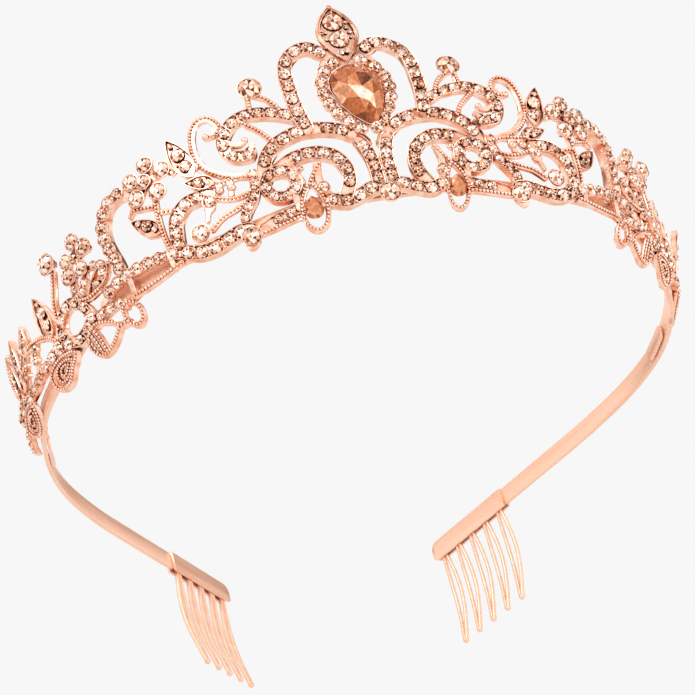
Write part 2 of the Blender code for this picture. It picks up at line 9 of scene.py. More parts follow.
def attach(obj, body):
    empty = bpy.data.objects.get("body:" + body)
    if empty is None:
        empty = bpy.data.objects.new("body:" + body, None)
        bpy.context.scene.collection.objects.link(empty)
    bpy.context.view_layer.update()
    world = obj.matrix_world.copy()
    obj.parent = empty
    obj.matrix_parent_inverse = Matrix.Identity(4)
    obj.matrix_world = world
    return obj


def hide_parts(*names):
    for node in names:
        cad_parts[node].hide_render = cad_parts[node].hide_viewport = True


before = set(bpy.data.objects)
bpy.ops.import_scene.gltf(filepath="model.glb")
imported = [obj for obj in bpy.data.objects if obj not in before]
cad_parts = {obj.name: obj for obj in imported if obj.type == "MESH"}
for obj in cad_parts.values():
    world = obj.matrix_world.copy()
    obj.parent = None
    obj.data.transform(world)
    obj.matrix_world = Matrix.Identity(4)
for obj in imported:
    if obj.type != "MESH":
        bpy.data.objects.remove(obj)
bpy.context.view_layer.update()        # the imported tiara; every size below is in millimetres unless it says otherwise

mm = 0.001


# the headband's line, and the wall that the castings follow

band = {
    "arcRun": 20.0,
    "bendDegrees": (7.0, 16.0, 21.0, 19.0, 17.5, 18.0, 15.0, 7.0),
    "armEnd": 218.0,
    "seatBack": 75.0,
    "thickness": 1.0,
    "height": 4.7,
    "frontHeight": 3.5,
    "arch": 6.8,
    "peak": 2.8,
    "frontInset": -2.5,
    "edgeRound": 0.28,
}
wall = {"foot": -1.2, "lean": 0.195, "curve": -0.00194, "endShift": 3.1,
        "shiftFrom": 78.0, "shiftTo": 104.0}

bandRun = np.arange(0.0, 236.0, 0.25)
bendStops = band["arcRun"] * np.arange(len(band["bendDegrees"]) + 1)
bendTotals = np.radians(np.concatenate([[0.0], np.cumsum(band["bendDegrees"])]))
bandHeading = np.interp(bandRun, bendStops, bendTotals)
stepHeading = (bandHeading[1:] + bandHeading[:-1]) / 2
bandX = np.concatenate([[0.0], np.cumsum(np.cos(stepHeading) * 0.25)])
bandY = np.concatenate([[0.0], np.cumsum(np.sin(stepHeading) * 0.25)])


def place(s, z, out):                      # s round the band, z up, out from its line
    s, z, out = np.broadcast_arrays(np.asarray(s, float), z, out)
    side = np.where(s < 0, -1.0, 1.0)
    run = np.abs(s)
    x = np.interp(run, bandRun, bandX)
    y = np.interp(run, bandRun, bandY)
    heading = np.interp(run, bandRun, bandHeading)
    where = [side * (x + out * np.sin(heading)), y - out * np.cos(heading) - band["seatBack"], z]
    return np.stack(where, -1) * mm


def ease(value, low, high):
    t = np.clip((np.asarray(value, float) - low) / (high - low), 0, 1)
    return t * t * (3 - 2 * t)


def tuck(s, z):                            # low loops curl in under the headband
    run = np.abs(s)
    drop = np.clip(11.5 - z, 0, 8) * 0.33 * ease(run, 12.2, 13.4) * (1 - ease(run, 17.6, 18.8))
    loops = np.clip(5.0 - z, 0, 8) * 0.45 * ease(run, 55.5, 57.5)
    return -drop - loops


def wallOut(s, z):
    flat = wall["foot"] + wall["lean"] * z + wall["curve"] * z * z
    shift = wall["endShift"] * ease(np.abs(s), wall["shiftFrom"], wall["shiftTo"])
    return flat + shift + tuck(s, z)


byHand = {"lean": 0.75, "archAside": 0.8, "archBack": 1.8, "leafOut": 2.4}


def handLean(s, z):                        # the front is bent a little to one side by hand
    return byHand["lean"] * (1 - ease(np.abs(s), 8, 20)) * np.clip((50 - z) / 40, 0, 1)


def handBend(s, z):                        # and one arch is pressed back
    return ease(s, 2, 12) * (1 - ease(s, 26, 38)) * np.clip((z - 28) / 16, 0, 1.1)


def leafSprung(s, z):                      # and one end leaf stands off the band
    return ease(s, 97, 98) * (1 - ease(s, 100.6, 101.6)) * np.clip((z - 9) / 10, 0, 1.2)


def onWall(s, z, out):
    bend = handBend(s, z)
    spot = s + handLean(s, z) + byHand["archAside"] * bend
    sprung = byHand["leafOut"] * leafSprung(s, z)
    return place(spot, z, wallOut(s, z) + out - byHand["archBack"] * bend + sprung)


def wallFrame(s, z, out=0.0):              # right, up and facing directions at each place
    right = onWall(s + 0.3, z, out) - onWall(s - 0.3, z, out)
    right /= np.linalg.norm(right, axis=-1, keepdims=True)
    up = onWall(s, z + 0.3, out) - onWall(s, z - 0.3, out)
    up -= right * (up * right).sum(-1, keepdims=True)
    up /= np.linalg.norm(up, axis=-1, keepdims=True)
    return right, up, np.cross(right, up)


def stripShape(s):
    low = band["arch"] * (1 - ease(np.abs(s), 50, 122)) + band["peak"] * (1 - ease(np.abs(s), 12, 36))
    growth = ease(np.abs(s), 40, 110)
    height = band["frontHeight"] + (band["height"] - band["frontHeight"]) * growth
    out = band["frontInset"] * (1 - ease(np.abs(s), wall["shiftFrom"], wall["shiftTo"]))
    return low, low + height, out


# flat paths

def smoothPath(points, step, closed=False):
    knots = np.array(points, float)
    if closed:
        knots = np.vstack([knots[-1], knots, knots[:2]])
    else:
        knots = np.vstack([2 * knots[0] - knots[1], knots, 2 * knots[-1] - knots[-2]])
    t = np.linspace(0, 1, 20, endpoint=False)[:, None]
    dense = []
    for p, q, r, w in zip(knots, knots[1:], knots[2:], knots[3:]):
        dense.append(0.5 * (2 * q + (r - p) * t + (2 * p - 5 * q + 4 * r - w) * t ** 2
                            + (3 * q - p - 3 * r + w) * t ** 3))
    dense = np.vstack(dense + [knots[-2:-1]])
    reach = np.concatenate([[0.0], np.cumsum(np.linalg.norm(np.diff(dense, axis=0), axis=1))])
    count = max(2, int(round(reach[-1] / step)))
    at = np.linspace(0, reach[-1], count + 1)
    if closed:
        at = at[:-1]
    return np.stack([np.interp(at, reach, dense[:, k]) for k in (0, 1)], -1)


def pathTurns(path, closed=False):         # unit direction along a path
    if closed:
        ahead = np.roll(path, -1, 0) - np.roll(path, 1, 0)
    else:
        ahead = np.gradient(path, axis=0)
    return ahead / np.linalg.norm(ahead, axis=1, keepdims=True)


def sided(points, side):
    return [(side * s, z) for s, z in points]


def ringPath(s, z, radius, count):
    turns = [2 * pi * k / count for k in range(count)]
    return [(s + radius * cos(a), z + radius * sin(a)) for a in turns]


# mesh building

def newBuild():
    return {"points": [], "faces": [], "count": 0}


def addTube(build, rings, closed=False):   # rings: stations x corners x 3
    stations, corners = rings.shape[:2]
    base = build["count"]
    build["points"].append(rings.reshape(-1, 3))
    build["count"] += stations * corners
    for i in range(stations if closed else stations - 1):
        j = (i + 1) % stations
        for k in range(corners):
            m = (k + 1) % corners
            build["faces"].append((base + i * corners + k, base + i * corners + m,
                                   base + j * corners + m, base + j * corners + k))
    if not closed:
        build["faces"].append(tuple(base + k for k in reversed(range(corners))))
        build["faces"].append(tuple(base + (stations - 1) * corners + k for k in range(corners)))


def meshFrom(name, build, sharp=38):
    mesh = bpy.data.meshes.new(name)
    mesh.from_pydata(np.vstack(build["points"]).tolist(), [], build["faces"])
    bm = bmesh.new()
    bm.from_mesh(mesh)
    bmesh.ops.recalc_face_normals(bm, faces=bm.faces)
    bm.to_mesh(mesh)
    bm.free()
    mesh.shade_smooth()
    mesh.set_sharp_from_angle(angle=radians(sharp))
    return mesh


def pieceFrom(name, mesh, material):
    mesh.materials.clear()
    mesh.materials.append(material)
    piece = bpy.data.objects.new(name, mesh)
    bpy.context.scene.collection.objects.link(piece)
    return piece


def seat(piece, slotName, *nodes):         # every piece rides on the one rigid body
    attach(piece, "root")
    if nodes:
        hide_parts(*nodes)


railStep = 0.6                             # between the rings of a rail


def sweepRail(build, points, section, closed=False, width=2.0):
    path = smoothPath(points, railStep, closed)
    ahead = pathTurns(path, closed)
    scale = np.ones(len(path))
    if not closed:                         # rounded ends
        grow = np.array([0.3, 0.6, 0.82, 0.96])
        start = path[0] - ahead[0] * width / 2 * scale[0] * grow[::-1, None]
        end = path[-1] + ahead[-1] * width / 2 * scale[-1] * grow[:, None]
        path = np.vstack([start, path, end])
        ahead = np.vstack([np.repeat(ahead[:1], 4, 0), ahead, np.repeat(ahead[-1:], 4, 0)])
        shrink = np.sqrt(1 - grow ** 2)
        scale = np.concatenate([scale[0] * shrink[::-1], scale, scale[-1] * shrink])
    across = np.stack([-ahead[:, 1], ahead[:, 0]], -1)
    rings = []
    for a, out in section:
        spot = path + across * (a * scale)[:, None]
        rings.append(onWall(spot[:, 0], spot[:, 1], out))
    addTube(build, np.stack(rings, 1), closed)


def channel(width, depth=1.7, lip=0.1, floor=-0.36):
    h = width / 2
    half = [(h - 0.3, -depth), (h - 0.06, -depth + 0.2), (h, -depth + 0.5), (h, -0.15),
            (h - 0.05, lip - 0.03), (h - 0.1, lip), (h - 0.2, lip - 0.05), (h - 0.26, floor)]
    return half + [(-a, out) for a, out in reversed(half)]


def strap(width, top=0.0, depth=1.1):      # flat-topped bar with soft corners
    h = width / 2
    half = [(h - 0.2, -depth), (h, -depth + 0.25), (h, top - 0.2), (h - 0.2, top)]
    return half + [(-a, out) for a, out in reversed(half)]


def addStack(build, outline, levels, middle):    # a closed shell from insets of one outline
    outline = np.array(outline, float)
    centre = np.array(middle, float)
    arms = outline - centre
    reach = np.linalg.norm(arms, axis=1, keepdims=True)
    rings = []
    for inset, out in levels:
        ring = centre + arms * np.clip(1 - inset / reach, 0.05, 2)
        rings.append(onWall(ring[:, 0], ring[:, 1], out))
    addTube(build, np.stack(rings, 0))


def leafOutline(base, tip, width, count=14, blunt=0.75):
    base, tip = np.array(base, float), np.array(tip, float)
    ahead = tip - base
    across = np.array([-ahead[1], ahead[0]]) / np.linalg.norm(ahead)
    t = np.linspace(0, 1, count)
    half = width / 2 * np.sin(pi * t ** blunt) ** 0.85
    spine = base + ahead * t[:, None]
    leftEdge = spine + across * half[:, None]
    rightEdge = spine - across * half[:, None]
    return np.vstack([leftEdge, rightEdge[-2:0:-1]]), spine


# cut stones

# painted shade on the girdle walls and base of each cut stone
girdleShade = 0.22


def cutStone(outline, crown, table=0.56, middle=0.8, depth=0.25, dip=0.05, foot=0.7):
    outline = np.array(outline, float)     # an even number of corners, anticlockwise
    count = len(outline)
    half = count // 2
    rings = [
        np.column_stack([outline[::2] * table, np.full(half, crown)]),
        np.column_stack([outline[1::2] * middle, np.full(half, crown * 0.56)]),
        np.column_stack([outline, np.zeros(count)]),
        np.column_stack([outline * foot, np.full(count, -depth)]),
    ]
    points = np.vstack([[[0, 0, crown * (1 - dip)]]] + rings)
    top, mid, girdle, base = 1, 1 + half, 1 + 2 * half, 1 + 2 * half + count
    faces, tones = [], []
    for i in range(half):
        j = (i + 1) % half
        faces.append((0, top + i, top + j))
        faces.append((top + i, mid + i, top + j))
        faces.append((top + i, mid + (i - 1) % half, girdle + 2 * i, mid + i))
        faces.append((mid + i, girdle + 2 * i, girdle + 2 * i + 1))
        faces.append((mid + i, girdle + 2 * i + 1, girdle + (2 * i + 2) % count))
    # painted facet light and shade, one tone to each crown facet
    tones += list(paintedFacetLights(half))
    for k in range(count):
        m = (k + 1) % count
        faces.append((girdle + k, base + k, base + m, girdle + m))
        tones.append(girdleShade)
    faces.append(tuple(base + k for k in reversed(range(count))))
    tones.append(girdleShade)
    return points, faces, tones


def paintedFacetLights(half):                      # painted reflections: light and dark facets, as foil behind cut glass gives them under light
    for i in range(half):
        yield (0.95, 0.3, 0.8, 0.62)[i % 4]
        yield (0.55, 0.9, 0.12, 0.75)[i % 4]
        yield (0.78, 0.4, 0.92, 0.6)[i % 4]
        yield (0.3, 0.85, 0.6, 0.1)[i % 4]
        yield (0.88, 0.5, 0.22, 0.7)[i % 4]


def stoneMesh(name, points, faces, tones, stoneTone=0.5):
    mesh = bpy.data.meshes.new(name)
    mesh.from_pydata(np.asarray(points).tolist(), [], faces)
    # painted facet light and shade, one value per face
    facet = mesh.attributes.new("paintedFacetLight", "FLOAT", "FACE")
    facet.data.foreach_set("value", np.array(tones, np.float32))
    if stoneTone is not None:
        whole = mesh.attributes.new("stoneTone", "FLOAT", "FACE")
        whole.data.foreach_set("value", np.full(len(faces), stoneTone, np.float32))
    return mesh


def roundOutline(count=16, radius=1.0):
    turns = [2 * pi * k / count for k in range(count)]
    return [(radius * cos(a), radius * sin(a)) for a in turns]


# node helpers and finishes

def linear(hexColour):                     # sRGB hex to the linear values that Blender keeps
    parts = [int(hexColour[i:i + 2], 16) / 255 for i in (1, 3, 5)]
    return tuple(c / 12.92 if c <= 0.04045 else ((c + 0.055) / 1.055) ** 2.4 for c in parts) + (1.0,)


def addNode(tree, kind, inputs=None, **settings):
    node = tree.nodes.new(kind)
    for key, value in settings.items():
        setattr(node, key, value)
    for key, value in (inputs or {}).items():
        socket = node.inputs[key]
        if isinstance(value, bpy.types.NodeSocket):
            tree.links.new(value, socket)
        else:
            socket.default_value = value
    return node


def setRamp(node, stops):
    ramp = node.color_ramp
    while len(ramp.elements) > 1:
        ramp.elements.remove(ramp.elements[-1])
    ramp.elements[0].position = stops[0][0]
    ramp.elements[0].color = linear(stops[0][1])
    for position, colour in stops[1:]:
        ramp.elements.new(position).color = linear(colour)
    return node.outputs["Color"]


def newMaterial(name):
    material = bpy.data.materials.new(name)
    material.use_nodes = True
    material.node_tree.nodes.clear()
    return material, material.node_tree


def shaderOut(tree, inputs):
    shader = addNode(tree, "ShaderNodeBsdfPrincipled", inputs)
    addNode(tree, "ShaderNodeOutputMaterial", {"Surface": shader.outputs["BSDF"]})


# the recess colour and its reach are painted shade; pale and deep are the plating's own uneven tone
plating = {"pale": "#FFDBC7", "deep": "#F0AC88", "paintedShade": "#8C3B14", "paintedShadeReach": 1.3,
           "blotch": 2.2, "grain": 0.35, "bump": 0.00004, "smooth": 0.12, "dull": 0.26}


def paintRecessShade(tree, colour, paintedShade, size):    # painted shade: the colour goes dark in corners and recesses, where ambient occlusion finds them
    shadeOcclusion = addNode(tree, "ShaderNodeAmbientOcclusion", {"Distance": size * mm}, samples=6)
    depth = addNode(tree, "ShaderNodeMapRange", {"Value": shadeOcclusion.outputs["AO"], "From Min": 0.05,
                                                 "From Max": 0.8})
    mixed = addNode(tree, "ShaderNodeMix", {"Factor": depth.outputs["Result"]}, data_type="RGBA")
    mixed.inputs[6].default_value = linear(paintedShade)
    tree.links.new(colour, mixed.inputs[7])
    return mixed.outputs[2]


def rosePlatedCasting():                   # zinc casting, tumbled and plated: bright, softly uneven
    material, tree = newMaterial("rose_plated_casting")
    spot = addNode(tree, "ShaderNodeTexCoord").outputs["Object"]
    blotch = addNode(tree, "ShaderNodeTexNoise",
                     {"Vector": spot, "Scale": 1 / (plating["blotch"] * mm), "Detail": 3.0})
    grain = addNode(tree, "ShaderNodeTexNoise",
                    {"Vector": spot, "Scale": 1 / (plating["grain"] * mm), "Detail": 2.0})
    colour = setRamp(addNode(tree, "ShaderNodeValToRGB", {"Fac": blotch.outputs["Fac"]}),
                     [(0.3, plating["deep"]), (0.6, plating["pale"])])
    # painted shade in the corners and recesses, mixed into the colour
    colour = paintRecessShade(tree, colour, plating["paintedShade"], plating["paintedShadeReach"])
    rough = addNode(tree, "ShaderNodeMapRange", {"Value": blotch.outputs["Fac"], "From Min": 0.3,
                    "From Max": 0.7, "To Min": plating["smooth"], "To Max": plating["dull"]})
    bump = addNode(tree, "ShaderNodeBump", {"Height": grain.outputs["Fac"], "Strength": 0.35,
                                            "Distance": plating["bump"]})
    shaderOut(tree, {"Base Color": colour, "Metallic": 1.0, "Roughness": rough.outputs["Result"],
                     "Normal": bump.outputs["Normal"]})
    return material


spring = {"pale": "#FDD3BA", "deep": "#F6C4A7", "scratch": 0.6, "stretch": 0.06, "bump": 0.00001,
          "smooth": 0.3, "dull": 0.4}


def satinPlatedSteel():                    # spring strip and wire: drawn, so marked along its length
    material, tree = newMaterial("satin_rose_plated_steel")
    spot = addNode(tree, "ShaderNodeTexCoord").outputs["Object"]
    drawn = addNode(tree, "ShaderNodeMapping", {"Vector": spot, "Scale": (0.35, 0.35, 6.0)})
    scratch = addNode(tree, "ShaderNodeTexNoise", {"Vector": drawn.outputs["Vector"],
                      "Scale": spring["stretch"] / (spring["scratch"] * mm), "Detail": 5.0})
    colour = setRamp(addNode(tree, "ShaderNodeValToRGB", {"Fac": scratch.outputs["Fac"]}),
                     [(0.3, spring["deep"]), (0.7, spring["pale"])])
    rough = addNode(tree, "ShaderNodeMapRange", {"Value": scratch.outputs["Fac"], "From Min": 0.3,
                    "From Max": 0.7, "To Min": spring["smooth"], "To Max": spring["dull"]})
    bump = addNode(tree, "ShaderNodeBump", {"Height": scratch.outputs["Fac"], "Strength": 0.3,
                                            "Distance": spring["bump"]})
    shaderOut(tree, {"Base Color": colour, "Metallic": 0.6, "Roughness": rough.outputs["Result"],
                     "Normal": bump.outputs["Normal"]})
    return material


glass = {"cloud": 0.7, "cloudGain": 0.5, "darker": 0.26, "rough": 0.07, "ior": 1.56}


def foiledGlass(name, stops, metallic, spread, coat=0.3):    # cut glass on foil: its facets' reflections painted in, light or dark
    material, tree = newMaterial(name)
    # the painted light and shade of each facet
    facet = addNode(tree, "ShaderNodeAttribute", attribute_name="paintedFacetLight")
    whole = addNode(tree, "ShaderNodeAttribute", attribute_name="stoneTone")
    swing = addNode(tree, "ShaderNodeMath", {0: whole.outputs["Fac"], 1: 0.5},
                    operation="SUBTRACT")
    tone = addNode(tree, "ShaderNodeMath", {0: swing.outputs[0], 1: spread,
                   2: facet.outputs["Fac"]}, operation="MULTIPLY_ADD")
    spot = addNode(tree, "ShaderNodeTexCoord").outputs["Object"]
    cloud = addNode(tree, "ShaderNodeTexNoise", {"Vector": spot, "Scale": 1 / (glass["cloud"] * mm),
                                                 "Detail": 1.0})
    shifted = addNode(tree, "ShaderNodeMath", {0: cloud.outputs["Fac"], 1: glass["cloudGain"],
                      2: tone.outputs[0]}, operation="MULTIPLY_ADD")
    centred = addNode(tree, "ShaderNodeMath", {0: shifted.outputs[0], 1: glass["darker"]},
                      operation="SUBTRACT")
    colour = setRamp(addNode(tree, "ShaderNodeValToRGB", {"Fac": centred.outputs[0]}), stops)
    shaderOut(tree, {"Base Color": colour, "Metallic": metallic, "Roughness": glass["rough"],
                     "IOR": glass["ior"],
                     "Coat Weight": coat, "Coat Roughness": 0.03})
    return material


castMetal = rosePlatedCasting()
stripMetal = satinPlatedSteel()
paleStone = foiledGlass("pale_foiled_rhinestone", [
    (0.0, "#2E1004"), (0.26, "#6E3110"), (0.41, "#B56A3A"), (0.56, "#DD9F7A"), (0.74, "#F8D6C1"),
    (1.0, "#FFF8F0")], 0.65, 0.34, 0.15)
peachStone = foiledGlass("peach_foiled_crystal", [
    (0.0, "#4A1A08"), (0.2, "#86401C"), (0.4, "#BD6836"), (0.6, "#D68757"), (0.8, "#EDB693"),
    (1.0, "#FFE9DA")], 0.55, 0.1, 0.1)


# node trees for what repeats

def newTree(name, sockets):
    tree = bpy.data.node_groups.new(name, "GeometryNodeTree")
    tree.interface.new_socket(name="Geometry", in_out="INPUT", socket_type="NodeSocketGeometry")
    for label, kind in sockets:
        tree.interface.new_socket(name=label, in_out="INPUT", socket_type="NodeSocket" + kind)
    tree.interface.new_socket(name="Geometry", in_out="OUTPUT", socket_type="NodeSocketGeometry")
    return tree, addNode(tree, "NodeGroupInput").outputs


def endTree(tree, instances, material, smooth):
    whole = addNode(tree, "GeometryNodeRealizeInstances", {"Geometry": instances})
    shade = addNode(tree, "GeometryNodeSetShadeSmooth",
                    {"Geometry": whole.outputs["Geometry"], "Shade Smooth": smooth})
    paint = addNode(tree, "GeometryNodeSetMaterial",
                    {"Geometry": shade.outputs["Geometry"], "Material": material})
    addNode(tree, "NodeGroupOutput", {"Geometry": paint.outputs["Geometry"]})


def setAxes(tree):                         # a turn from each point's own facing and along
    facing = addNode(tree, "GeometryNodeInputNamedAttribute", {"Name": "facing"},
                     data_type="FLOAT_VECTOR")
    along = addNode(tree, "GeometryNodeInputNamedAttribute", {"Name": "along"},
                    data_type="FLOAT_VECTOR")
    axes = addNode(tree, "FunctionNodeAxesToRotation",
                   {"Primary Axis": facing.outputs["Attribute"],
                    "Secondary Axis": along.outputs["Attribute"]},
                   primary_axis="Z", secondary_axis="X")
    return axes.outputs["Rotation"]


def stoneTree():
    tree, given = newTree("setStones", [("Stone", "Object"), ("Finish", "Material"),
                                        ("Seed", "Int")])
    size = addNode(tree, "GeometryNodeInputNamedAttribute", {"Name": "size"}, data_type="FLOAT")
    spin = addNode(tree, "FunctionNodeRandomValue", {2: 0.0, 3: 2 * pi, 8: given["Seed"]},
                   data_type="FLOAT")
    shift = addNode(tree, "FunctionNodeAxisAngleToRotation",
                    {"Axis": (0, 0, 1), "Angle": spin.outputs[1]})
    turned = addNode(tree, "FunctionNodeRotateRotation",
                     {"Rotation": setAxes(tree), "Rotate By": shift.outputs["Rotation"]},
                     rotation_space="LOCAL")
    seedToo = addNode(tree, "ShaderNodeMath", {0: given["Seed"], 1: 1.0}, operation="ADD")
    tone = addNode(tree, "FunctionNodeRandomValue", {2: 0.0, 3: 1.0, 8: seedToo.outputs[0]},
                   data_type="FLOAT")
    source = addNode(tree, "GeometryNodeObjectInfo", {"Object": given["Stone"]})
    spread = addNode(tree, "GeometryNodeInstanceOnPoints", {
        "Points": given["Geometry"], "Instance": source.outputs["Geometry"],
        "Rotation": turned.outputs["Rotation"], "Scale": size.outputs["Attribute"]})
    toned = addNode(tree, "GeometryNodeStoreNamedAttribute", {
        "Geometry": spread.outputs["Instances"], "Name": "stoneTone",
        "Value": tone.outputs[1]}, data_type="FLOAT", domain="INSTANCE")
    endTree(tree, toned.outputs["Geometry"], given["Finish"], False)
    return tree


def beadTree():                            # prongs and end balls: one bead on each point
    tree, given = newTree("prongBeads", [("Finish", "Material")])
    size = addNode(tree, "GeometryNodeInputNamedAttribute", {"Name": "size"}, data_type="FLOAT")
    bead = addNode(tree, "GeometryNodeMeshUVSphere", {"Segments": 8, "Rings": 5, "Radius": 1.0})
    spread = addNode(tree, "GeometryNodeInstanceOnPoints", {
        "Points": given["Geometry"], "Instance": bead.outputs["Mesh"], "Rotation": setAxes(tree),
        "Scale": size.outputs["Attribute"]})
    endTree(tree, spread.outputs["Instances"], given["Finish"], True)
    return tree


def milgrainTree():                        # a row of beads along every drawn line
    tree, given = newTree("milgrainRows", [("Pitch", "Float"), ("Radius", "Float"),
                                           ("Finish", "Material")])
    line = addNode(tree, "GeometryNodeMeshToCurve", {"Mesh": given["Geometry"]})
    even = addNode(tree, "GeometryNodeResampleCurve",
                   {"Curve": line.outputs["Curve"], "Length": given["Pitch"]}, mode="LENGTH")
    bead = addNode(tree, "GeometryNodeMeshUVSphere",
                   {"Segments": 8, "Rings": 5, "Radius": given["Radius"]})
    spread = addNode(tree, "GeometryNodeInstanceOnPoints",
                     {"Points": even.outputs["Curve"], "Instance": bead.outputs["Mesh"]})
    endTree(tree, spread.outputs["Instances"], given["Finish"], True)
    return tree


def combTree():                            # a wire hairpin on each point of the rail
    tree, given = newTree("combTeeth", [("Hairpin", "Object"), ("Wire Radius", "Float"),
                                        ("Tip Radius", "Float"), ("Tip Out", "Float"),
                                        ("Tip Down", "Float"), ("Finish", "Material")])
    source = addNode(tree, "GeometryNodeObjectInfo", {"Object": given["Hairpin"]})
    line = addNode(tree, "GeometryNodeMeshToCurve", {"Mesh": source.outputs["Geometry"]})
    ring = addNode(tree, "GeometryNodeCurvePrimitiveCircle",
                   {"Resolution": 10, "Radius": given["Wire Radius"]})
    wire = addNode(tree, "GeometryNodeCurveToMesh", {
        "Curve": line.outputs["Curve"], "Profile Curve": ring.outputs["Curve"],
        "Fill Caps": True})
    ball = addNode(tree, "GeometryNodeMeshUVSphere",
                   {"Segments": 14, "Rings": 9, "Radius": given["Tip Radius"]})
    spot = addNode(tree, "ShaderNodeCombineXYZ", {"Y": given["Tip Out"], "Z": given["Tip Down"]})
    lowered = addNode(tree, "GeometryNodeTransform",
                      {"Geometry": ball.outputs["Mesh"], "Translation": spot.outputs["Vector"]})
    tooth = addNode(tree, "GeometryNodeJoinGeometry", {"Geometry": wire.outputs["Mesh"]})
    tree.links.new(lowered.outputs["Geometry"], tooth.inputs["Geometry"])
    spread = addNode(tree, "GeometryNodeInstanceOnPoints", {
        "Points": given["Geometry"], "Instance": tooth.outputs["Geometry"],
        "Rotation": setAxes(tree)})
    endTree(tree, spread.outputs["Instances"], given["Finish"], True)
    return tree


def growWithNodes(name, mesh, tree, values):
    source = bpy.data.objects.new(name + "_source", mesh)
    bpy.context.scene.collection.objects.link(source)
    grow = source.modifiers.new("grow", "NODES")
    grow.node_group = tree
    for item in tree.interface.items_tree:
        if item.item_type == "SOCKET" and item.in_out == "INPUT" and item.name in values:
            grow[item.identifier] = values[item.name]
    seen = source.evaluated_get(bpy.context.evaluated_depsgraph_get())
    grown = bpy.data.meshes.new_from_object(seen)
    source.modifiers.remove(grow)
    bpy.data.objects.remove(source)
    grown.name = name
    piece = bpy.data.objects.new(name, grown)
    bpy.context.scene.collection.objects.link(piece)
    return piece


def pointMesh(name, places, facing, along, sizes):
    mesh = bpy.data.meshes.new(name)
    mesh.from_pydata(np.asarray(places).tolist(), [], [])
    for label, values in (("facing", facing), ("along", along)):
        layer = mesh.attributes.new(label, "FLOAT_VECTOR", "POINT")
        layer.data.foreach_set("vector", np.asarray(values, np.float32).ravel())
    layer = mesh.attributes.new("size", "FLOAT", "POINT")
    layer.data.foreach_set("value", np.asarray(sizes, np.float32))
    return mesh


stonesOnPoints = stoneTree()
beadsOnPoints = beadTree()
beadsOnLines = milgrainTree()
teethOnPoints = combTree()

roundCut = bpy.data.objects.new("round_cut", stoneMesh(
    "round_cut", *cutStone(roundOutline(12), 0.5, 0.5, 0.78), stoneTone=None))


# drawings of the castings, for the side where s is positive
# paved rails: width, blank run before, a stone at each point, blank run after

centreFiligree = {
    "paved": [
        (3.1, [(3.2, 44.9)], [(5.0, 46.5), (7.3, 48.3), (10.0, 47.9), (12.5, 45.6), (13.5, 42.4),
         (13.6, 39.0), (13.6, 35.6), (13.4, 32.2), (12.9, 29.0)], [(12.7, 27.6)]),        # arch
        (2.9, [(1.6, 11.4)], [(1.5, 13.2), (1.5, 15.9), (1.8, 18.5), (2.5, 21.0)],
         [(3.0, 22.2)]),                                                                  # column
        (3.1, [(2.0, 21.6)], [(3.4, 23.6), (5.8, 25.5), (8.7, 26.6), (11.7, 27.1), (14.7, 27.0),
         (17.7, 26.1), (20.5, 24.4), (22.5, 21.9)], [(23.6, 18.6)]),                      # arc
        (3.0, [(8.9, 10.2)], [(7.4, 13.3), (7.3, 16.3), (8.5, 19.1), (10.8, 20.9), (13.7, 21.5),
         (16.6, 21.1)], [(18.8, 20.2), (20.8, 19.0)]),                                    # scroll
        (3.0, [(0.8, 11.2)], [(3.3, 10.9), (6.1, 9.7), (9.1, 8.9), (12.0, 9.8)], []),     # border
        (2.4, [(18.0, 9.7)], [(20.3, 8.8), (23.2, 8.1)], [(26.3, 7.0)]),
    ],
    "cupped": [
        (2.9, 1.1, [(0.4, 43.9)], [(2.9, 43.0), (5.5, 41.0), (6.8, 38.3), (7.1, 35.4), (6.6, 32.5),
         (5.4, 29.8), (3.7, 27.3), (1.7, 25.2)], []),                                     # halo
    ],
    "pavedLoops": [(2.6, ringPath(20.7, 15.8, 3.15, count=7))],
    "beaded": [(1.0, [(12.4, 18.6), (14.1, 16.2), (15.2, 14.2)], 0.0)],
    "beadedLoops": [(1.0, [(15.3, 14.2), (17.1, 11.8), (18.0, 8.8), (17.3, 6.1), (15.5, 5.0),
                           (13.7, 6.1), (13.0, 8.9), (13.8, 12.0)], 0.0)],
    "smooth": [
        (1.6, [(12.9, 18.2), (13.3, 15.0), (12.7, 12.3), (11.6, 10.0)]),
        (1.6, [(17.9, 20.2), (17.3, 17.6), (16.6, 15.2)]),
        (1.6, [(18.9, 13.2), (18.4, 11.4), (18.4, 9.4)]),
        (2.0, [(-1.4, 12.6), (1.4, 12.6)]),
        (1.3, [(3.2, 44.4), (5.2, 43.2), (5.9, 40.8)]),
        (0.8, [(13.2, 9.4), (15.5, 9.4), (17.8, 9.4)]),
    ],
    "single": [(12.9, 12.9, 1.25), (16.3, 18.2, 0.7)],
}

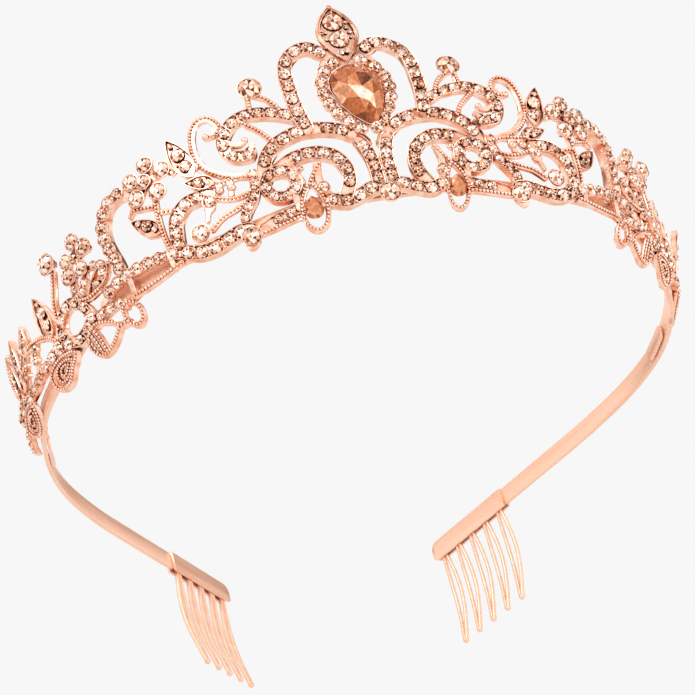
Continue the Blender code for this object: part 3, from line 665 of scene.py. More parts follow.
scrollPanel = {
    "paved": [
        (2.8, [(14.6, 31.0)], [(15.9, 31.9), (18.6, 33.1), (21.3, 33.8), (24.0, 34.0),
         (26.8, 33.0), (28.8, 30.9), (29.8, 28.2), (28.6, 25.1), (25.4, 24.2)],
         [(24.9, 24.7)]),                                                                 # S scroll
        (3.1, [(35.6, 18.2)], [(37.8, 18.4), (40.7, 18.0), (43.2, 15.6), (44.0, 12.8),
         (44.3, 10.2)], [(44.0, 8.6)]),                                                   # C scroll
        (3.2, [(29.4, 7.6)], [(31.2, 7.8), (33.9, 7.1), (37.1, 6.3), (40.3, 6.5),
         (43.1, 7.7)], [(45.0, 8.6)]),                                                    # border
        (2.3, [(25.6, 19.6)], [(25.8, 17.0), (26.6, 14.6), (28.2, 12.6), (29.5, 10.4)],
         [(29.4, 7.6)]),
    ],
    "beaded": [
        (1.2, [(20.0, 25.9), (21.0, 27.8), (22.5, 29.8), (24.8, 32.2)], 0.0),
        (1.2, [(21.0, 38.4), (19.0, 37.0), (17.3, 34.6), (16.7, 32.6)], 0.0),             # stalks
        (1.2, [(22.5, 37.6), (22.6, 34.4)], 0.0),
        (1.6, [(32.4, 31.5), (30.6, 31.8), (29.9, 33.6), (31.3, 35.8), (33.2, 36.0), (34.8, 34.5),
               (35.7, 31.4), (35.7, 27.4), (34.3, 24.0), (31.4, 21.4), (28.4, 20.1),
               (25.4, 19.3)], 0.3),                                                       # crescent
        (1.3, [(29.0, 19.9), (32.0, 19.9), (34.6, 20.2)], 0.0),
        (1.2, [(25.0, 17.2), (27.5, 15.8), (30.0, 15.4), (32.5, 16.0), (35.0, 17.4),
               (36.8, 18.6)], 0.0),
        (1.2, [(28.8, 13.6), (31.1, 12.9), (34.0, 12.1), (36.6, 10.4)], 0.0),
        (1.1, [(18.0, 7.6), (21.0, 6.9), (24.0, 6.3), (27.2, 5.8)], 0.0),
    ],
    "smooth": [
        (1.2, [(29.0, 28.8), (27.8, 27.7), (26.5, 27.3), (25.3, 28.0)]),                  # hook
        (1.5, [(28.4, 31.0), (30.6, 32.6)]),
        (1.5, [(35.4, 26.6), (37.6, 24.4)]),
        (1.4, [(37.2, 24.4), (35.6, 22.0)]),
        (1.3, [(25.2, 24.6), (24.2, 26.2)]),
        (1.5, [(30.6, 19.4), (30.5, 18.3)]),
        (1.5, [(32.8, 19.8), (32.9, 18.6)]),
        (1.2, [(30.6, 18.4), (30.9, 16.6)]),                                              # thorn
        (2.4, [(35.6, 18.0), (35.9, 15.4)]),
        (1.0, [(36.0, 15.6), (37.1, 12.7)]),
        (2.6, [(29.0, 5.0), (29.7, 4.4)]),
    ],
    "leaves": [
        ((37.3, 23.2), (40.7, 34.3), 4.6, [(39.2, 29.8, 1.6), (38.3, 26.6, 1.45),
                                           (40.2, 32.4, 0.6), (39.9, 27.6, 0.4)]),
        ((33.4, 20.4), (39.6, 22.5), 3.4, [(36.7, 21.6, 1.35), (38.4, 22.1, 0.55),
                                           (34.9, 20.9, 0.6)]),
    ],
    "single": [(41.2, 26.2, 0.7), (35.6, 16.5, 1.4)],
    "balls": [(32.6, 31.5, 0.85), (25.3, 28.1, 0.75), (30.5, 18.0, 1.0), (33.0, 18.2, 1.0)],
    "cups": [("stalk_stone", 21.5, 40.2, 2.5, 0.3), ("border_stone", 29.3, 6.0, 2.0, 0.3),
             ("scroll_stone", 39.2, 10.4, 1.85, 0.3)],
}

flowerSpray = {
    "cupped": [
        (2.9, 2.8, [(51.6, 26.8)], [(53.9, 27.9), (56.5, 27.5), (58.5, 25.8), (59.7, 23.2),
         (60.0, 20.4), (59.6, 17.6), (59.0, 14.8), (58.7, 12.2)], [(58.6, 10.2)]),        # C curve
        (2.8, 1.6, [(44.8, 8.3)], [(46.4, 8.9), (49.2, 9.3), (52.0, 9.6), (54.8, 9.8),
         (57.6, 9.9), (60.4, 9.7), (63.0, 9.1)], [(65.6, 8.2)]),                          # base
    ],
    "beaded": [
        (1.3, [(46.2, 22.6), (46.6, 19.6), (46.8, 16.0), (46.7, 12.6), (46.2, 9.4)], 0.0),
        (1.1, [(46.2, 18.9), (43.4, 18.1)], 0.0),
        (1.1, [(52.5, 21.3), (51.4, 22.1), (49.6, 21.6), (47.2, 20.8)], 0.0),
        (1.3, [(45.0, 6.2), (49.5, 5.3), (53.0, 4.9), (57.4, 4.8)], 0.0),
    ],
    "smooth": [
        (1.9, [(46.1, 30.4), (47.2, 26.6)]),
        (1.9, [(43.2, 27.7), (47.2, 26.6)]),
        (1.9, [(50.1, 28.2), (47.2, 26.6)]),
        (1.9, [(45.3, 23.4), (47.2, 26.6)]),
        (1.9, [(49.8, 23.9), (47.2, 26.6)]),
        (1.5, [(50.4, 23.6), (51.6, 22.4)]),                                              # spur
        (0.9, [(51.4, 22.6), (52.6, 21.2)]),
        (1.3, [(46.9, 8.6), (46.6, 5.8)]),
        (1.3, [(57.2, 9.4), (57.2, 5.0)]),
    ],
    "leaves": [((46.9, 14.2), (52.6, 19.9), 3.8, [(49.7, 17.5, 1.35), (48.2, 15.9, 0.7),
                                                  (51.3, 18.9, 0.7)])],
    "cups": [("flower_stone_1", 46.1, 30.5, 1.75, 0.7), ("flower_stone_2", 43.1, 27.7, 1.85, 0.7),
             ("flower_stone_3", 50.0, 28.3, 1.8, 0.7), ("flower_stone_4", 47.2, 26.6, 1.6, 1.1),
             ("flower_stone_5", 45.1, 23.3, 1.9, 0.7), ("flower_stone_6", 49.8, 23.9, 1.85, 0.7)],
}

sideSpray = {
    "cupped": [
        (2.1, 1.1, [(60.0, 5.2)], [(61.6, 5.4), (64.4, 5.7), (67.2, 6.1), (69.8, 7.2)],
         [(70.8, 7.8)]),
        (2.1, 1.1, [(66.6, 17.4)], [(64.6, 16.8), (62.8, 15.9)], [(61.4, 15.2)]),
        (2.0, 1.1, [(71.2, 17.4)], [(71.8, 15.9), (72.2, 13.8)], [(72.0, 12.6)]),
        (2.1, 1.1, [(67.4, 16.6)], [(68.4, 15.2), (69.8, 13.6)], [(71.0, 12.4)]),
        (2.7, 1.6, [(76.9, 5.6)], [(79.6, 6.8), (83.0, 7.7), (86.2, 8.0)], [(88.2, 8.0)]),
    ],
    "pavedLoops": [(2.6, [(69.9, 7.4), (72.4, 5.8), (75.6, 5.5), (78.6, 7.0), (80.2, 9.9),
                          (79.2, 12.6), (76.4, 14.0), (73.2, 13.2), (70.9, 10.6)])],
    "beaded": [
        (1.4, [(76.6, 23.2), (77.8, 20.6), (79.2, 17.8), (79.9, 15.0), (79.7, 12.4)], 0.0),
        (1.4, [(61.6, 1.8), (64.8, 2.2)], 0.0),
        (1.4, [(65.2, 11.2), (68.2, 11.2), (70.8, 12.2)], 0.0),
        (1.2, [(70.6, 5.0), (70.4, 2.7), (70.8, 0.3)], 0.0),
        (1.2, [(71.9, 4.6), (71.8, 2.6), (72.1, 0.5)], 0.0),
        (1.2, [(73.1, 3.8), (73.2, 2.4), (73.2, 1.2)], 0.0),
    ],
    "beadedLoops": [
        (1.2, ringPath(59.8, 2.5, 2.2, count=8), 0.0),
        (1.3, [(64.4, 2.4), (66.6, 1.0), (69.6, 0.1), (72.8, 0.3), (74.2, 2.4), (72.4, 4.6),
               (69.6, 5.2), (66.6, 4.2)], 0.0),
    ],
    "filledLoops": [
        (1.4, [(78.6, 4.4), (82.0, 2.9), (85.8, 1.4), (89.2, 1.9), (89.2, 4.2), (86.0, 5.9),
               (82.0, 5.8)]),
    ],
    "smooth": [
        (1.8, [(64.9, 21.5), (69.0, 21.6)]),
        (1.8, [(67.4, 24.5), (69.0, 21.6)]),
        (1.8, [(67.2, 17.8), (69.0, 21.6)]),
        (1.8, [(71.2, 18.4), (69.0, 21.6)]),
        (1.8, [(71.8, 22.6), (69.0, 21.6)]),
        (1.6, [(60.4, 4.4), (61.6, 5.4)]),
        (1.6, [(70.8, 4.8), (71.6, 6.6)]),
    ],
    "leaves": [((60.9, 14.9), (68.2, 11.4), 3.8, [(62.9, 13.9, 1.3), (65.4, 12.7, 1.1)])],
    "single": [(68.9, 21.6, 1.35), (71.8, 22.7, 1.5)],
    "cups": [("spray_stone_1", 64.9, 21.5, 1.85, 1.1), ("spray_stone_2", 67.4, 24.5, 1.75, 1.1),
             ("spray_stone_3", 67.2, 17.7, 1.7, 1.1), ("spray_stone_4", 71.1, 18.3, 1.9, 1.1),
             ("spray_stone_5", 76.4, 25.3, 2.3, 1.2)],
}

endSpray = {
    "cupped": [
        (2.6, 1.6, [(82.2, 10.8)], [(83.2, 8.9), (86.6, 8.0), (90.0, 7.6), (93.2, 7.2),
         (96.4, 6.6), (99.6, 6.6), (102.8, 6.9), (106.0, 7.2)],
         [(112.0, 6.6), (117.0, 5.6), (119.6, 5.2)]),                                     # base
        (2.1, 1.1, [(89.2, 14.4)], [(90.6, 13.4), (91.6, 11.2)], [(92.6, 8.8)]),
        (2.0, 1.1, [(94.6, 14.4)], [(95.9, 13.0), (97.0, 11.0)], [(98.6, 8.4)]),
    ],
    "beaded": [
        (1.7, [(82.8, 10.2), (84.6, 12.2), (87.2, 13.8), (90.6, 14.9), (93.8, 15.2)], 0.0),
        (1.2, [(98.4, 13.4), (95.4, 15.8)], 0.0),
        (1.6, [(102.4, 8.4), (105.0, 10.2), (107.0, 13.2), (107.6, 16.6), (106.6, 19.4),
               (104.5, 21.2)], 0.0),                                                      # rim
    ],
    "filledLoops": [(1.4, [(99.6, 5.4), (101.6, 2.6), (105.4, 1.6), (109.0, 2.8), (109.6, 5.4),
                           (104.6, 6.6)])],
    "leaves": [
        ((83.4, 11.4), (85.4, 23.0), 4.8, [(84.3, 18.3, 1.45), (84.1, 15.0, 1.3),
                                           (84.9, 21.0, 0.6)]),
        ((94.6, 14.2), (92.5, 21.0), 3.2, [(93.5, 17.6, 0.95), (93.1, 19.4, 0.5),
                                           (94.1, 15.9, 0.6)]),
        ((100.4, 8.8), (98.9, 21.9), 3.4, [(99.3, 17.4, 1.0), (99.6, 14.8, 1.0),
                                           (99.9, 12.2, 0.9), (99.1, 19.6, 0.6)]),
        ((102.9, 8.2), (104.4, 21.6), 3.6, [(104.4, 16.8, 1.1), (104.4, 14.2, 1.0),
                                            (103.9, 11.6, 0.8)]),
    ],
    "single": [(110.6, 8.6, 2.0), (107.6, 9.8, 1.1), (113.8, 6.3, 1.1), (116.4, 5.7, 0.9),
               (118.6, 5.3, 0.8)],
}


# the castings' metal, pavé stones, prongs and milgrain

paving = {"stoneShare": 0.46, "stoneOut": -0.1, "prong": 0.3, "prongInset": 0.36,
          "prongOut": 0.12, "cupShare": 0.5, "spineShare": 0.66,
          "beadPitch": 0.8, "beadRadius": 0.38, "beadOut": 0.08, "ballOut": -0.3}


def newSetting():
    return {"metal": newBuild(), "stones": [], "prongs": [], "lines": []}


def layProngs(setting, points, width, closed):       # a pair of beads between neighbours
    route = np.array(points + points[:1] if closed else points, float)
    turns = np.diff(route, axis=0)
    turns /= np.linalg.norm(turns, axis=1, keepdims=True)
    across = np.stack([-turns[:, 1], turns[:, 0]], -1) * (width / 2 - paving["prongInset"])
    middles = (route[1:] + route[:-1]) / 2
    for s, z in np.vstack([middles + across, middles - across]):
        setting["prongs"].append((s, z, paving["prong"], paving["prongOut"]))


def addPaved(setting, width, before, points, after, side, closed=False):
    points = sided(points, side)
    whole = sided(before, side) + points + sided(after, side)
    sweepRail(setting["metal"], whole, channel(width), closed, width)
    radius = width * paving["stoneShare"]
    setting["stones"] += [(s, z, radius, paving["stoneOut"]) for s, z in points]
    layProngs(setting, points, width, closed)


def addCupped(setting, width, depth, before, points, after, side):    # a chain of small round cups
    whole = sided(before + points + after, side)
    spine = width * paving["spineShare"]
    sweepRail(setting["metal"], whole, strap(spine, -0.25, depth), width=spine)
    radius = width * paving["cupShare"]
    for s, z in sided(points, side):
        addCup(setting, s, z, radius, -0.05, 0.9, 14, 0.14)
        setting["stones"].append((s, z, radius, -0.05))
    layProngs(setting, sided(points, side), width * 0.86, False)


def addBeaded(setting, width, points, shift, side, closed=False):
    points = sided(points, side)
    sweepRail(setting["metal"], points, strap(width, top=-0.1), closed, width)
    path = smoothPath(points, 0.4, closed)
    ahead = pathTurns(path, closed)
    path = path + np.stack([-ahead[:, 1], ahead[:, 0]], -1) * shift * side
    setting["lines"].append((onWall(path[:, 0], path[:, 1], paving["beadOut"]), closed))


def addLeaf(setting, base, tip, width, stones, side):
    outline, spine = leafOutline((side * base[0], base[1]), (side * tip[0], tip[1]), width)
    levels = [(0.5, -1.4), (0.12, -1.2), (0.0, -0.6), (0.0, 0.2), (0.1, 0.34), (0.22, 0.34),
              (0.34, 0.14), (0.4, -0.45)]
    addStack(setting["metal"], outline, levels, (spine[0] + spine[-1]) / 2)
    for s, z, radius in stones:
        setting["stones"].append((side * s, z, radius, 0.0))


def addCup(setting, s, z, radius, lift, flare=0.45, sides=20, rim=0.24):
    right, up, facing = wallFrame(s, z)
    centre = onWall(s, z, 0.0)
    rings = []
    middle = (1 + flare) / 2
    steps = [(flare * radius - 0.15, -1.35), (flare * radius, -1.2), (middle * radius, lift / 2 - 0.6),
             (radius + rim * 0.6, lift - 0.5), (radius + rim, lift - 0.1),
             (radius + rim * 0.8, lift + 0.08), (radius + rim * 0.2, lift + 0.1),
             (radius - 0.06, lift - 0.02), (radius - 0.1, lift - 0.3)]
    for reach, out in steps:
        ring = [centre + (right * cos(a) + up * sin(a)) * reach * mm + facing * out * mm
                for a in np.linspace(0, 2 * pi, sides, endpoint=False)]
        rings.append(ring)
    addTube(setting["metal"], np.array(rings))


def addFilledLoop(setting, width, points, side):        # a beaded loop with beads inside it
    addBeaded(setting, width, points, 0.0, side, True)
    path = smoothPath(sided(points, side), 0.5, True)
    middle = path.mean(0)
    addStack(setting["metal"], path, [(0.6, -0.9), (0.1, -0.8), (0.0, -0.6), (0.3, -0.4)], middle)
    for share in (0.62, 0.3):
        inner = middle + (path - middle) * share
        setting["lines"].append((onWall(inner[:, 0], inner[:, 1], -0.22), True))


def dressSetting(setting, drawing, side):
    for width, before, points, after in drawing.get("paved", ()):
        addPaved(setting, width, before, points, after, side)
    for width, depth, before, points, after in drawing.get("cupped", ()):
        addCupped(setting, width, depth, before, points, after, side)
    for width, points in drawing.get("pavedLoops", ()):
        addPaved(setting, width, [], points, [], side, True)
    for width, points, shift in drawing.get("beaded", ()):
        addBeaded(setting, width, points, shift, side)
    for width, points, shift in drawing.get("beadedLoops", ()):
        addBeaded(setting, width, points, shift, side, True)
    for width, points in drawing.get("smooth", ()):
        sweepRail(setting["metal"], sided(points, side), strap(width), width=width)
    for base, tip, width, stones in drawing.get("leaves", ()):
        addLeaf(setting, base, tip, width, stones, side)
    for width, points in drawing.get("filledLoops", ()):
        addFilledLoop(setting, width, points, side)
    for s, z, radius in drawing.get("single", ()):
        addCup(setting, side * s, z, radius, 0.0)
        setting["stones"].append((side * s, z, radius, 0.0))
    for s, z, radius in drawing.get("balls", ()):
        setting["prongs"].append((side * s, z, radius, paving["ballOut"]))
    for name, s, z, radius, lift in drawing.get("cups", ()):
        addCup(setting, side * s, z, radius, lift)


def clearStones(stones):                   # drops a stone that would sit on one already set
    kept = []
    for stone in sorted(stones, key=lambda item: -item[2]):
        s, z, radius, out = stone
        if all((s - a) ** 2 + (z - b) ** 2 > (0.82 * (radius + r)) ** 2 for a, b, r, o in kept):
            kept.append(stone)
    return kept


def onPoints(name, items):
    s, z, size, out = np.array(items, float).T
    right, up, facing = wallFrame(s, z)
    return pointMesh(name, onWall(s, z, out), facing, right, size * mm)


def lineMesh(name, lines):
    points, edges = [], []
    for path, closed in lines:
        first = len(points)
        points += path.tolist()
        edges += [(k, k + 1) for k in range(first, len(points) - 1)]
        if closed:
            edges.append((len(points) - 1, first))
    mesh = bpy.data.meshes.new(name)
    mesh.from_pydata(points, edges, [])
    return mesh


def finishSetting(name, setting, seed):
    metal = pieceFrom(name, meshFrom(name, setting["metal"]), castMetal)
    seat(metal, "rose_gold", name)
    stones = growWithNodes(name + "_stones", onPoints(name, clearStones(setting["stones"])),
                           stonesOnPoints, {"Stone": roundCut, "Finish": paleStone, "Seed": seed})
    seat(stones, "pale_rhinestone")
    prongs = growWithNodes(name + "_prongs", onPoints(name, setting["prongs"]), beadsOnPoints,
                           {"Finish": castMetal})
    seat(prongs, "rose_gold")
    beads = growWithNodes(name + "_milgrain", lineMesh(name, setting["lines"]), beadsOnLines,
                          {"Pitch": paving["beadPitch"] * mm, "Radius": paving["beadRadius"] * mm,
                           "Finish": castMetal})
    seat(beads, "rose_gold")


centre = newSetting()
for side in (-1, 1):
    dressSetting(centre, centreFiligree, side)
addCup(centre, 0.0, 9.1, 2.2, 0.5)
finishSetting("centre_filigree", centre, 1)
print("centre filigree set")

chain = (("scroll_panel", scrollPanel), ("flower_spray", flowerSpray),
         ("side_spray", sideSpray), ("end_spray", endSpray))
for label, side in (("left", -1), ("right", 1)):
    for k, (what, drawing) in enumerate(chain):
        setting = newSetting()
        dressSetting(setting, drawing, side)
        finishSetting(f"{label}_{what}", setting, 10 * k + side + 5)
    print(label, "sprays set")


# large set stones

def localStone(name, node, s, z, out, points, faces, tones, material, slotName, tone=0.5):
    right, up, facing = wallFrame(s, z)
    centre = onWall(s, z, out)
    spots = [centre + (right * a + up * b + facing * c) * mm for a, b, c in points]
    mesh = stoneMesh(name, spots, faces, tones, tone)
    seat(pieceFrom(name, mesh, material), slotName, node)


def roundStone(name, s, z, radius, out, tone):
    points, faces, tones = cutStone(roundOutline(), 0.52)
    localStone(name, name, s, z, out, points * radius, faces, tones, paleStone,
               "pale_rhinestone", tone)


for label, side in (("left", -1), ("right", 1)):
    for drawing in (scrollPanel, flowerSpray, sideSpray):
        for k, (what, s, z, radius, lift) in enumerate(drawing["cups"]):
            roundStone(f"{label}_{what}", side * s, z, radius, lift, (0.35, 0.6, 0.8)[k % 3])
roundStone("bottom_stone", 0.0, 9.1, 2.2, 0.5, 0.6)


dropSpot = (15.6, 9.3)


def dropStone(name, side):                 # a pointed shield with a bevelled rim, in its wire loop
    shape = [(0.0, 2.5), (-1.35, 1.0), (-1.95, -0.7), (-1.4, -2.0), (0.0, -2.4), (1.4, -2.0),
             (1.95, -0.7), (1.35, 1.0)]
    outline = smoothPath(shape, 0.75, True)
    count = len(outline)
    levels = ((0.8, -0.5), (1.0, 0.0), (0.98, 0.25), (0.7, 0.75))
    points = [(s * share, z * share, out) for share, out in levels for s, z in outline]
    # painted facet light and shade: the base darker, the sides light and dark in turn, the top lighter
    faces, tones = [tuple(reversed(range(count)))], [0.3]
    for k in range(len(levels) - 1):
        for i in range(count):
            j = (i + 1) % count
            faces.append((k * count + i, k * count + j, (k + 1) * count + j, (k + 1) * count + i))
            tones.append(0.5 + 0.2 * sin(2.4 * i + k))
    faces.append(tuple(range(3 * count, 4 * count)))
    tones.append(0.66)
    s, z = dropSpot
    localStone(name, name, side * s, z, -0.1, points, faces, tones, peachStone,
               "peach_crystal")


for label, side in (("left", -1), ("right", 1)):
    dropStone(f"{label}_drop_stone", side)

pear = {"half": 5.55, "top": 41.6, "tip": 25.4, "height": 2.7, "out": 0.35,
        "aside": 0.35, "tilt": 7.0}


def pearOutline(half, top, tip, sides):    # round above, to a point below
    middle = top - half
    points = []
    for k in range(sides):
        a = 2 * pi * k / sides - pi / 2
        below = max(0.0, -sin(a))
        points.append((half * cos(a) * (1 - 0.35 * below ** 2),
                       middle + (half if sin(a) > 0 else middle - tip) * sin(a)))
    return points


def makePear():
    middle = (pear["top"] + pear["tip"]) / 2
    turn = radians(pear["tilt"])
    outline = [(s, z - middle) for s, z in pearOutline(pear["half"], pear["top"], pear["tip"], 16)]
    outline = [(s * cos(turn) - z * sin(turn), s * sin(turn) + z * cos(turn)) for s, z in outline]
    points, faces = cutStone(outline, pear["height"], 0.5, 0.76, 0.5, 0.0, 0.85)[:2]
    tones = pearTones(points, faces)
    localStone("pear_stone", "pear_stone", pear["aside"], middle, pear["out"],
               points, faces, tones, peachStone, "peach_crystal")
    cup = newBuild()
    seatLine = [(pear["aside"] + s * 1.04, middle + z * 1.04) for s, z in outline]
    addStack(cup, seatLine, [(1.6, -1.5), (0.3, -1.2), (0.0, -0.4), (0.0, 0.3), (0.15, 0.42),
                             (0.4, 0.2)], (0.0, middle))
    seat(pieceFrom("pear_cup", meshFrom("pear_cup", cup), castMetal), "rose_gold")


pearLights = [(-0.58, 0.04, 0.36, 0.42), (-0.1, -0.37, 0.3, 0.42), (0.19, -0.67, 0.24, 0.34),
              (0.14, 0.4, 0.19, -0.45), (0.84, 0.04, 0.26, 0.2), (-0.05, 0.81, 0.3, 0.14),
              (-0.75, 0.56, 0.26, -0.24), (-0.55, -0.32, 0.15, -0.4), (-0.24, -0.92, 0.2, -0.42),
              (0.2, -1.19, 0.2, -0.3), (0.59, 0.36, 0.2, -0.16)]


def pearTones(points, faces):              # patches of light and shadow that lie in the cut glass
    tones = []
    for k, face in enumerate(faces):
        x, y = np.mean([points[v] for v in face], axis=0)[:2] / pear["half"]
        tone = 0.42 + (0.05, -0.06, 0.02)[k % 3]
        for a, b, reach, gain in pearLights:
            tone += gain * exp(-((x - a) ** 2 + (y - b) ** 2) / (2 * reach ** 2))
        tones.append(float(np.clip(tone, 0.02, 0.98)))
    return tones


makePear()


# crest leaf over the pear

crest = {"base": (0.0, 42.4), "tip": (0.0, 59.0), "width": 9.0}


def makeCrest():
    setting = newSetting()
    outline, spine = leafOutline(crest["base"], crest["tip"], crest["width"], count=22, blunt=1.06)
    levels = [(0.9, -1.5), (0.3, -1.3), (0.0, -0.6), (0.0, 0.2), (0.15, 0.4), (0.4, 0.4),
              (0.55, 0.22), (0.7, 0.36), (0.9, 0.36), (1.0, 0.1), (1.1, -0.25)]
    addStack(setting["metal"], outline, levels, (0.0, 51.6))
    for s, z in ((0.0, 58.6), (-3.3, 51.4), (3.4, 53.6)):
        addCup(setting, s, z, 0.32, 0.45, sides=10)
    piece = pieceFrom("crest_leaf_cup", meshFrom("crest_leaf_cup", setting["metal"]), castMetal)
    seat(piece, "rose_gold", "crest_leaf_cup")
    roundStone("crest_stone_upper", -0.1, 54.3, 2.35, 0.05, 0.5)
    roundStone("crest_stone_lower", 0.0, 49.2, 2.25, 0.05, 0.7)
    small = [(2.4, 52.5, 0.6, 0.0), (2.8, 51.1, 0.55, 0.0), (2.7, 53.9, 0.45, 0.0),
             (2.7, 49.6, 0.4, 0.0), (0.8, 45.6, 0.75, 0.3), (-0.7, 45.4, 0.85, 0.3),
             (-2.4, 51.6, 0.45, 0.0), (0.2, 57.2, 0.4, 0.0), (-2.5, 49.6, 0.4, 0.0)]
    dust = growWithNodes("crest_small_stones", onPoints("crest_small_stones", small),
                         stonesOnPoints, {"Stone": roundCut, "Finish": paleStone, "Seed": 4})
    seat(dust, "pale_rhinestone")


makeCrest()
print("large stones set")


# headband strip, solder tabs and side combs

comb = {"start": 188.0, "end": 218.6, "inner": 0.56, "outer": 1.2, "roof": 4.5, "wall": 0.6,
        "bottom": -0.3, "round": 2.2, "drop": 2.0, "first": 191.2, "pitch": 6.0, "teeth": 5,
        "length": 26.0, "bow": 0.8, "curl": 2.4, "wire": 0.54, "top": 0.6, "neck": 0.55,
        "belly": 0.95, "tipBall": 0.8, "tongueLow": 1.8, "tongueHigh": 4.4}


def makeStrip():
    s = np.arange(2.0, 217, 2.0)
    s = np.concatenate([-s[::-1], [0.0], s])
    low, high, out = stripShape(s)
    inSleeve = np.abs(s) > comb["start"]
    low = np.where(inSleeve, comb["tongueLow"], low)
    high = np.where(inSleeve, comb["tongueHigh"], high)
    half, soft = band["thickness"] / 2, band["edgeRound"]
    corners = []
    for up, side in ((0, -1), (0, 1), (1, 1), (1, -1)):
        turnUp = 1 if up == 0 else -1
        edge = high if up else low
        corners.append([(edge + turnUp * soft, out + side * half),
                        (edge + turnUp * soft * 0.3, out + side * (half - soft * 0.3)),
                        (edge, out + side * (half - soft))])
    order = corners[0] + corners[1][::-1] + corners[2] + corners[3][::-1]
    rings = np.stack([place(s, z, o) for z, o in order], 1)
    build = newBuild()
    addTube(build, rings)
    piece = pieceFrom("headband_strip", meshFrom("headband_strip", build, 50), stripMetal)
    seat(piece, "satin_rose_gold", "headband_strip")


makeStrip()


def makeCombRail(label, side):
    inner, outer, roof = comb["inner"], comb["outer"], comb["roof"]
    top = roof + comb["wall"]
    section = [(-outer, comb["bottom"]), (-outer, top - 0.6), (-outer + 0.25, top - 0.15),
               (-outer + 0.7, top), (outer - 0.7, top), (outer - 0.25, top - 0.15),
               (outer, top - 0.6), (outer, comb["bottom"]), (inner, comb["bottom"]),
               (inner, roof - 0.3), (inner - 0.3, roof), (-inner + 0.3, roof),
               (-inner, roof - 0.3), (-inner, comb["bottom"])]
    s = np.concatenate([comb["start"] + np.array([0, 0.1, 0.25, 0.5]),
                        np.linspace(comb["start"] + 1, comb["end"] - comb["round"], 20),
                        comb["end"] - comb["round"] * np.cos(np.linspace(0.2, pi / 2, 8))])
    fromStart = np.clip((s - comb["start"]) / 0.5, 0, 1)
    fromEnd = np.clip((comb["end"] - s) / comb["round"], 0, 1)
    dip = 0.3 * (1 - np.sqrt(1 - (1 - fromStart) ** 2))
    dip += comb["drop"] * (1 - np.sqrt(1 - (1 - fromEnd) ** 2))
    rings = []
    for out, z in section:
        lowered = z - dip * (1 if z > 3 else -0.35)
        rings.append(place(side * s, lowered, out))
    build = newBuild()
    addTube(build, np.stack(rings, 1))
    name = f"{label}_comb_rail"
    seat(pieceFrom(name, meshFrom(name, build, 40), stripMetal), "satin_rose_gold", name)


def hairpin():                             # one tooth, x along the rail, z down out of it
    flat = []
    for side in (-1, 1):
        leg = []
        for t in np.linspace(0, 1, 18):
            half = comb["neck"] + comb["belly"] * sin(pi * t ** 0.85) ** 1.2 - 0.15 * t
            leg.append((side * half, comb["top"] - (comb["length"] + comb["top"]) * t))
        flat += reversed(leg) if side < 0 else leg
        if side < 0:
            flat += [(-comb["neck"] * cos(a), comb["top"] + comb["neck"] * sin(a))
                     for a in np.linspace(0, pi, 7)[1:-1]]
    spots = []
    for x, z in flat:
        down = min(max(-z / comb["length"], 0.0), 1.0)
        bow = comb["bow"] * sin(pi * down) ** 1.3 - comb["curl"] * down ** 2
        spots.append((x * mm, -bow * mm, z * mm))
    mesh = bpy.data.meshes.new("hairpin")
    mesh.from_pydata(spots, [(k, k + 1) for k in range(len(spots) - 1)], [])
    return bpy.data.objects.new("hairpin", mesh)


def makeTeeth(label, side, pin):
    s = comb["first"] + comb["pitch"] * np.arange(comb["teeth"])
    ahead = place(side * s + 0.5, 0.0, 0.0) - place(side * s - 0.5, 0.0, 0.0)
    facing = np.tile([0.0, 0.0, 1.0], (len(s), 1))
    name = f"{label}_comb_teeth"
    mesh = pointMesh(name, place(side * s, 0.0, 0.0), facing, ahead, np.ones(len(s)))
    piece = growWithNodes(name, mesh, teethOnPoints, {"Hairpin": pin, "Finish": stripMetal,
                                                      "Wire Radius": comb["wire"] * mm,
                                                      "Tip Radius": comb["tipBall"] * mm,
                                                      "Tip Out": comb["curl"] * mm,
                                                      "Tip Down": -comb["length"] * mm})
    nodes = [f"{label}_comb_tooth_{k + 1}" for k in range(comb["teeth"])]
    seat(piece, "satin_rose_gold", *nodes)


tab = {"start": 110.4, "end": 121.0, "half": 1.7, "startRound": 1.75, "startRoundTo": 112.1,
       "endRound": 0.9, "endRoundFrom": 120.2, "slopeFrom": 112.0, "slopeRun": 7.5,
       "middleFirst": 3.0, "middleLast": 2.4}


def makeTab(label, side):                  # solder tab inside the arm, with round ends
    run = np.linspace(tab["start"], tab["end"], 22)
    fromStart = ((tab["startRoundTo"] - run) / tab["startRound"]).clip(0, 1)
    fromEnd = ((run - tab["endRoundFrom"]) / tab["endRound"]).clip(0, 1)
    half = tab["half"] * np.sqrt(np.clip(1 - fromStart ** 2, 0.02, 1))
    half = np.minimum(half, tab["half"] * np.sqrt(np.clip(1 - fromEnd ** 2, 0.02, 1)))
    along = (run - tab["slopeFrom"]) * (tab["middleLast"] - tab["middleFirst"])
    middle = tab["middleFirst"] + along / tab["slopeRun"]
    back = stripShape(run)[2] - band["thickness"] / 2 - 0.3
    rings = []
    for up, out in ((-1, 0.0), (1, 0.0), (1, -0.4), (0.85, -0.6), (-0.85, -0.6), (-1, -0.4)):
        rings.append(place(side * run, middle + up * half, back + out))
    build = newBuild()
    addTube(build, np.stack(rings, 1))
    name = f"{label}_solder_tab"
    seat(pieceFrom(name, meshFrom(name, build, 40), stripMetal), "satin_rose_gold", name)


pin = hairpin()
for label, side in (("left", -1), ("right", 1)):
    makeCombRail(label, side)
    makeTeeth(label, side, pin)
    makeTab(label, side)
print("headband and combs made")


# floor, light and camera

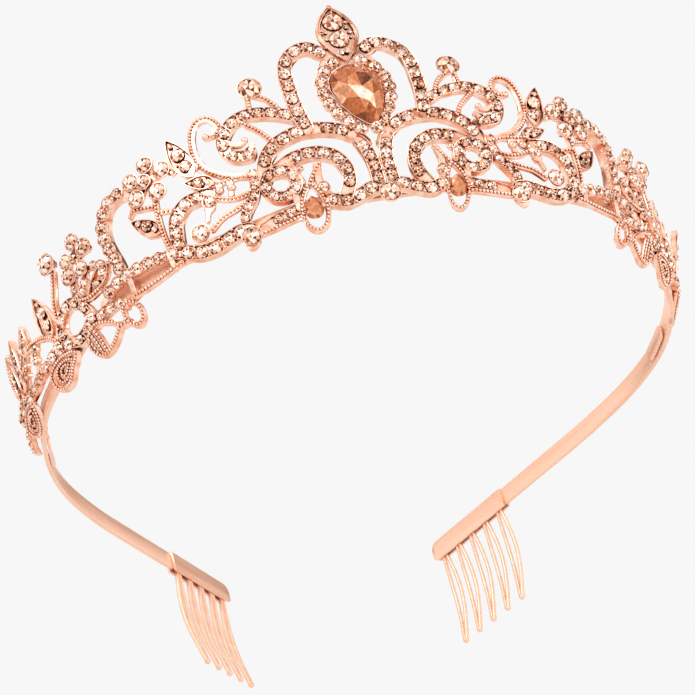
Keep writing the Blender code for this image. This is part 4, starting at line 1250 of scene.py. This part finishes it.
def makeFloor():
    mesh = bpy.data.meshes.new("floor")
    reach, low = 2.0, -0.28
    mesh.from_pydata([(-reach, -reach, low), (reach, -reach, low), (reach, reach, low),
                      (-reach, reach, low)], [], [(0, 1, 2, 3)])
    material, tree = newMaterial("pale_paper_floor")
    shaderOut(tree, {"Base Color": linear("#F1EFED"), "Roughness": 0.8})
    pieceFrom("floor", mesh, material)


def addSoftbox(name, place, target, size, power, colour):
    lamp = bpy.data.lights.new(name, "AREA")
    lamp.shape = "RECTANGLE"
    lamp.size, lamp.size_y = size
    lamp.energy = power
    lamp.color = linear(colour)[:3]
    holder = bpy.data.objects.new(name, lamp)
    holder.location = place
    holder.rotation_euler = (Vector(target) - Vector(place)).to_track_quat("-Z", "Y").to_euler()
    bpy.context.scene.collection.objects.link(holder)


def makeWorld():                           # pale studio with some dark panels for the facets
    world = bpy.data.worlds.new("studio")
    world.use_nodes = True
    tree = world.node_tree
    tree.nodes.clear()
    spot = addNode(tree, "ShaderNodeTexCoord").outputs["Generated"]
    panels = addNode(tree, "ShaderNodeTexNoise", {"Vector": spot, "Scale": 2.6, "Detail": 0.0})
    shade = setRamp(addNode(tree, "ShaderNodeValToRGB", {"Fac": panels.outputs["Fac"]}),
                    [(0.33, "#7C5745"), (0.41, "#E3D2C8"), (0.5, "#FFFFFF")])
    seen = addNode(tree, "ShaderNodeBackground", {"Color": linear("#F7F7F7"), "Strength": 1.0})
    cast = addNode(tree, "ShaderNodeBackground", {"Color": shade, "Strength": 1.19})
    path = addNode(tree, "ShaderNodeLightPath")
    both = addNode(tree, "ShaderNodeMixShader", {"Fac": path.outputs["Is Camera Ray"],
                   1: cast.outputs["Background"], 2: seen.outputs["Background"]})
    addNode(tree, "ShaderNodeOutputWorld", {"Surface": both.outputs["Shader"]})
    bpy.context.scene.world = world


view = {"target": (0.0, -0.015, 0.020), "azimuth": 14.67, "elevation": -32.05, "roll": 17.45,
        "distance": 0.45, "lens": 99.19, "sensor": 36.0, "shiftY": -0.046}


def makeCamera():
    turn, rise, roll = (radians(view[k]) for k in ("azimuth", "elevation", "roll"))
    back = Vector((-sin(turn) * cos(rise), -cos(turn) * cos(rise), sin(rise)))
    right = Vector((cos(turn), -sin(turn), 0.0))
    up = back.cross(right)
    right, up = cos(roll) * right - sin(roll) * up, sin(roll) * right + cos(roll) * up
    lens = bpy.data.cameras.new("camera")
    lens.lens = view["lens"]
    lens.sensor_width = view["sensor"]
    lens.shift_y = view["shiftY"]
    lens.clip_start, lens.clip_end = 0.01, 10.0
    camera = bpy.data.objects.new("camera", lens)
    spot = Vector(view["target"]) + view["distance"] * back
    camera.matrix_world = Matrix.Translation(spot) @ Matrix((right, up, back)).transposed().to_4x4()
    bpy.context.scene.collection.objects.link(camera)
    bpy.context.scene.camera = camera


makeFloor()
makeWorld()
addSoftbox("key_light", (-0.4, -0.7, 0.5), (0, -0.03, 0.02), (0.5, 0.5), 3.0, "#FFFFFF")
addSoftbox("fill_light", (0.6, -0.5, -0.15), (0, -0.03, 0.02), (0.4, 0.4), 1.5, "#FFFFFF")
makeCamera()
bpy.context.scene.view_settings.view_transform = "Standard"
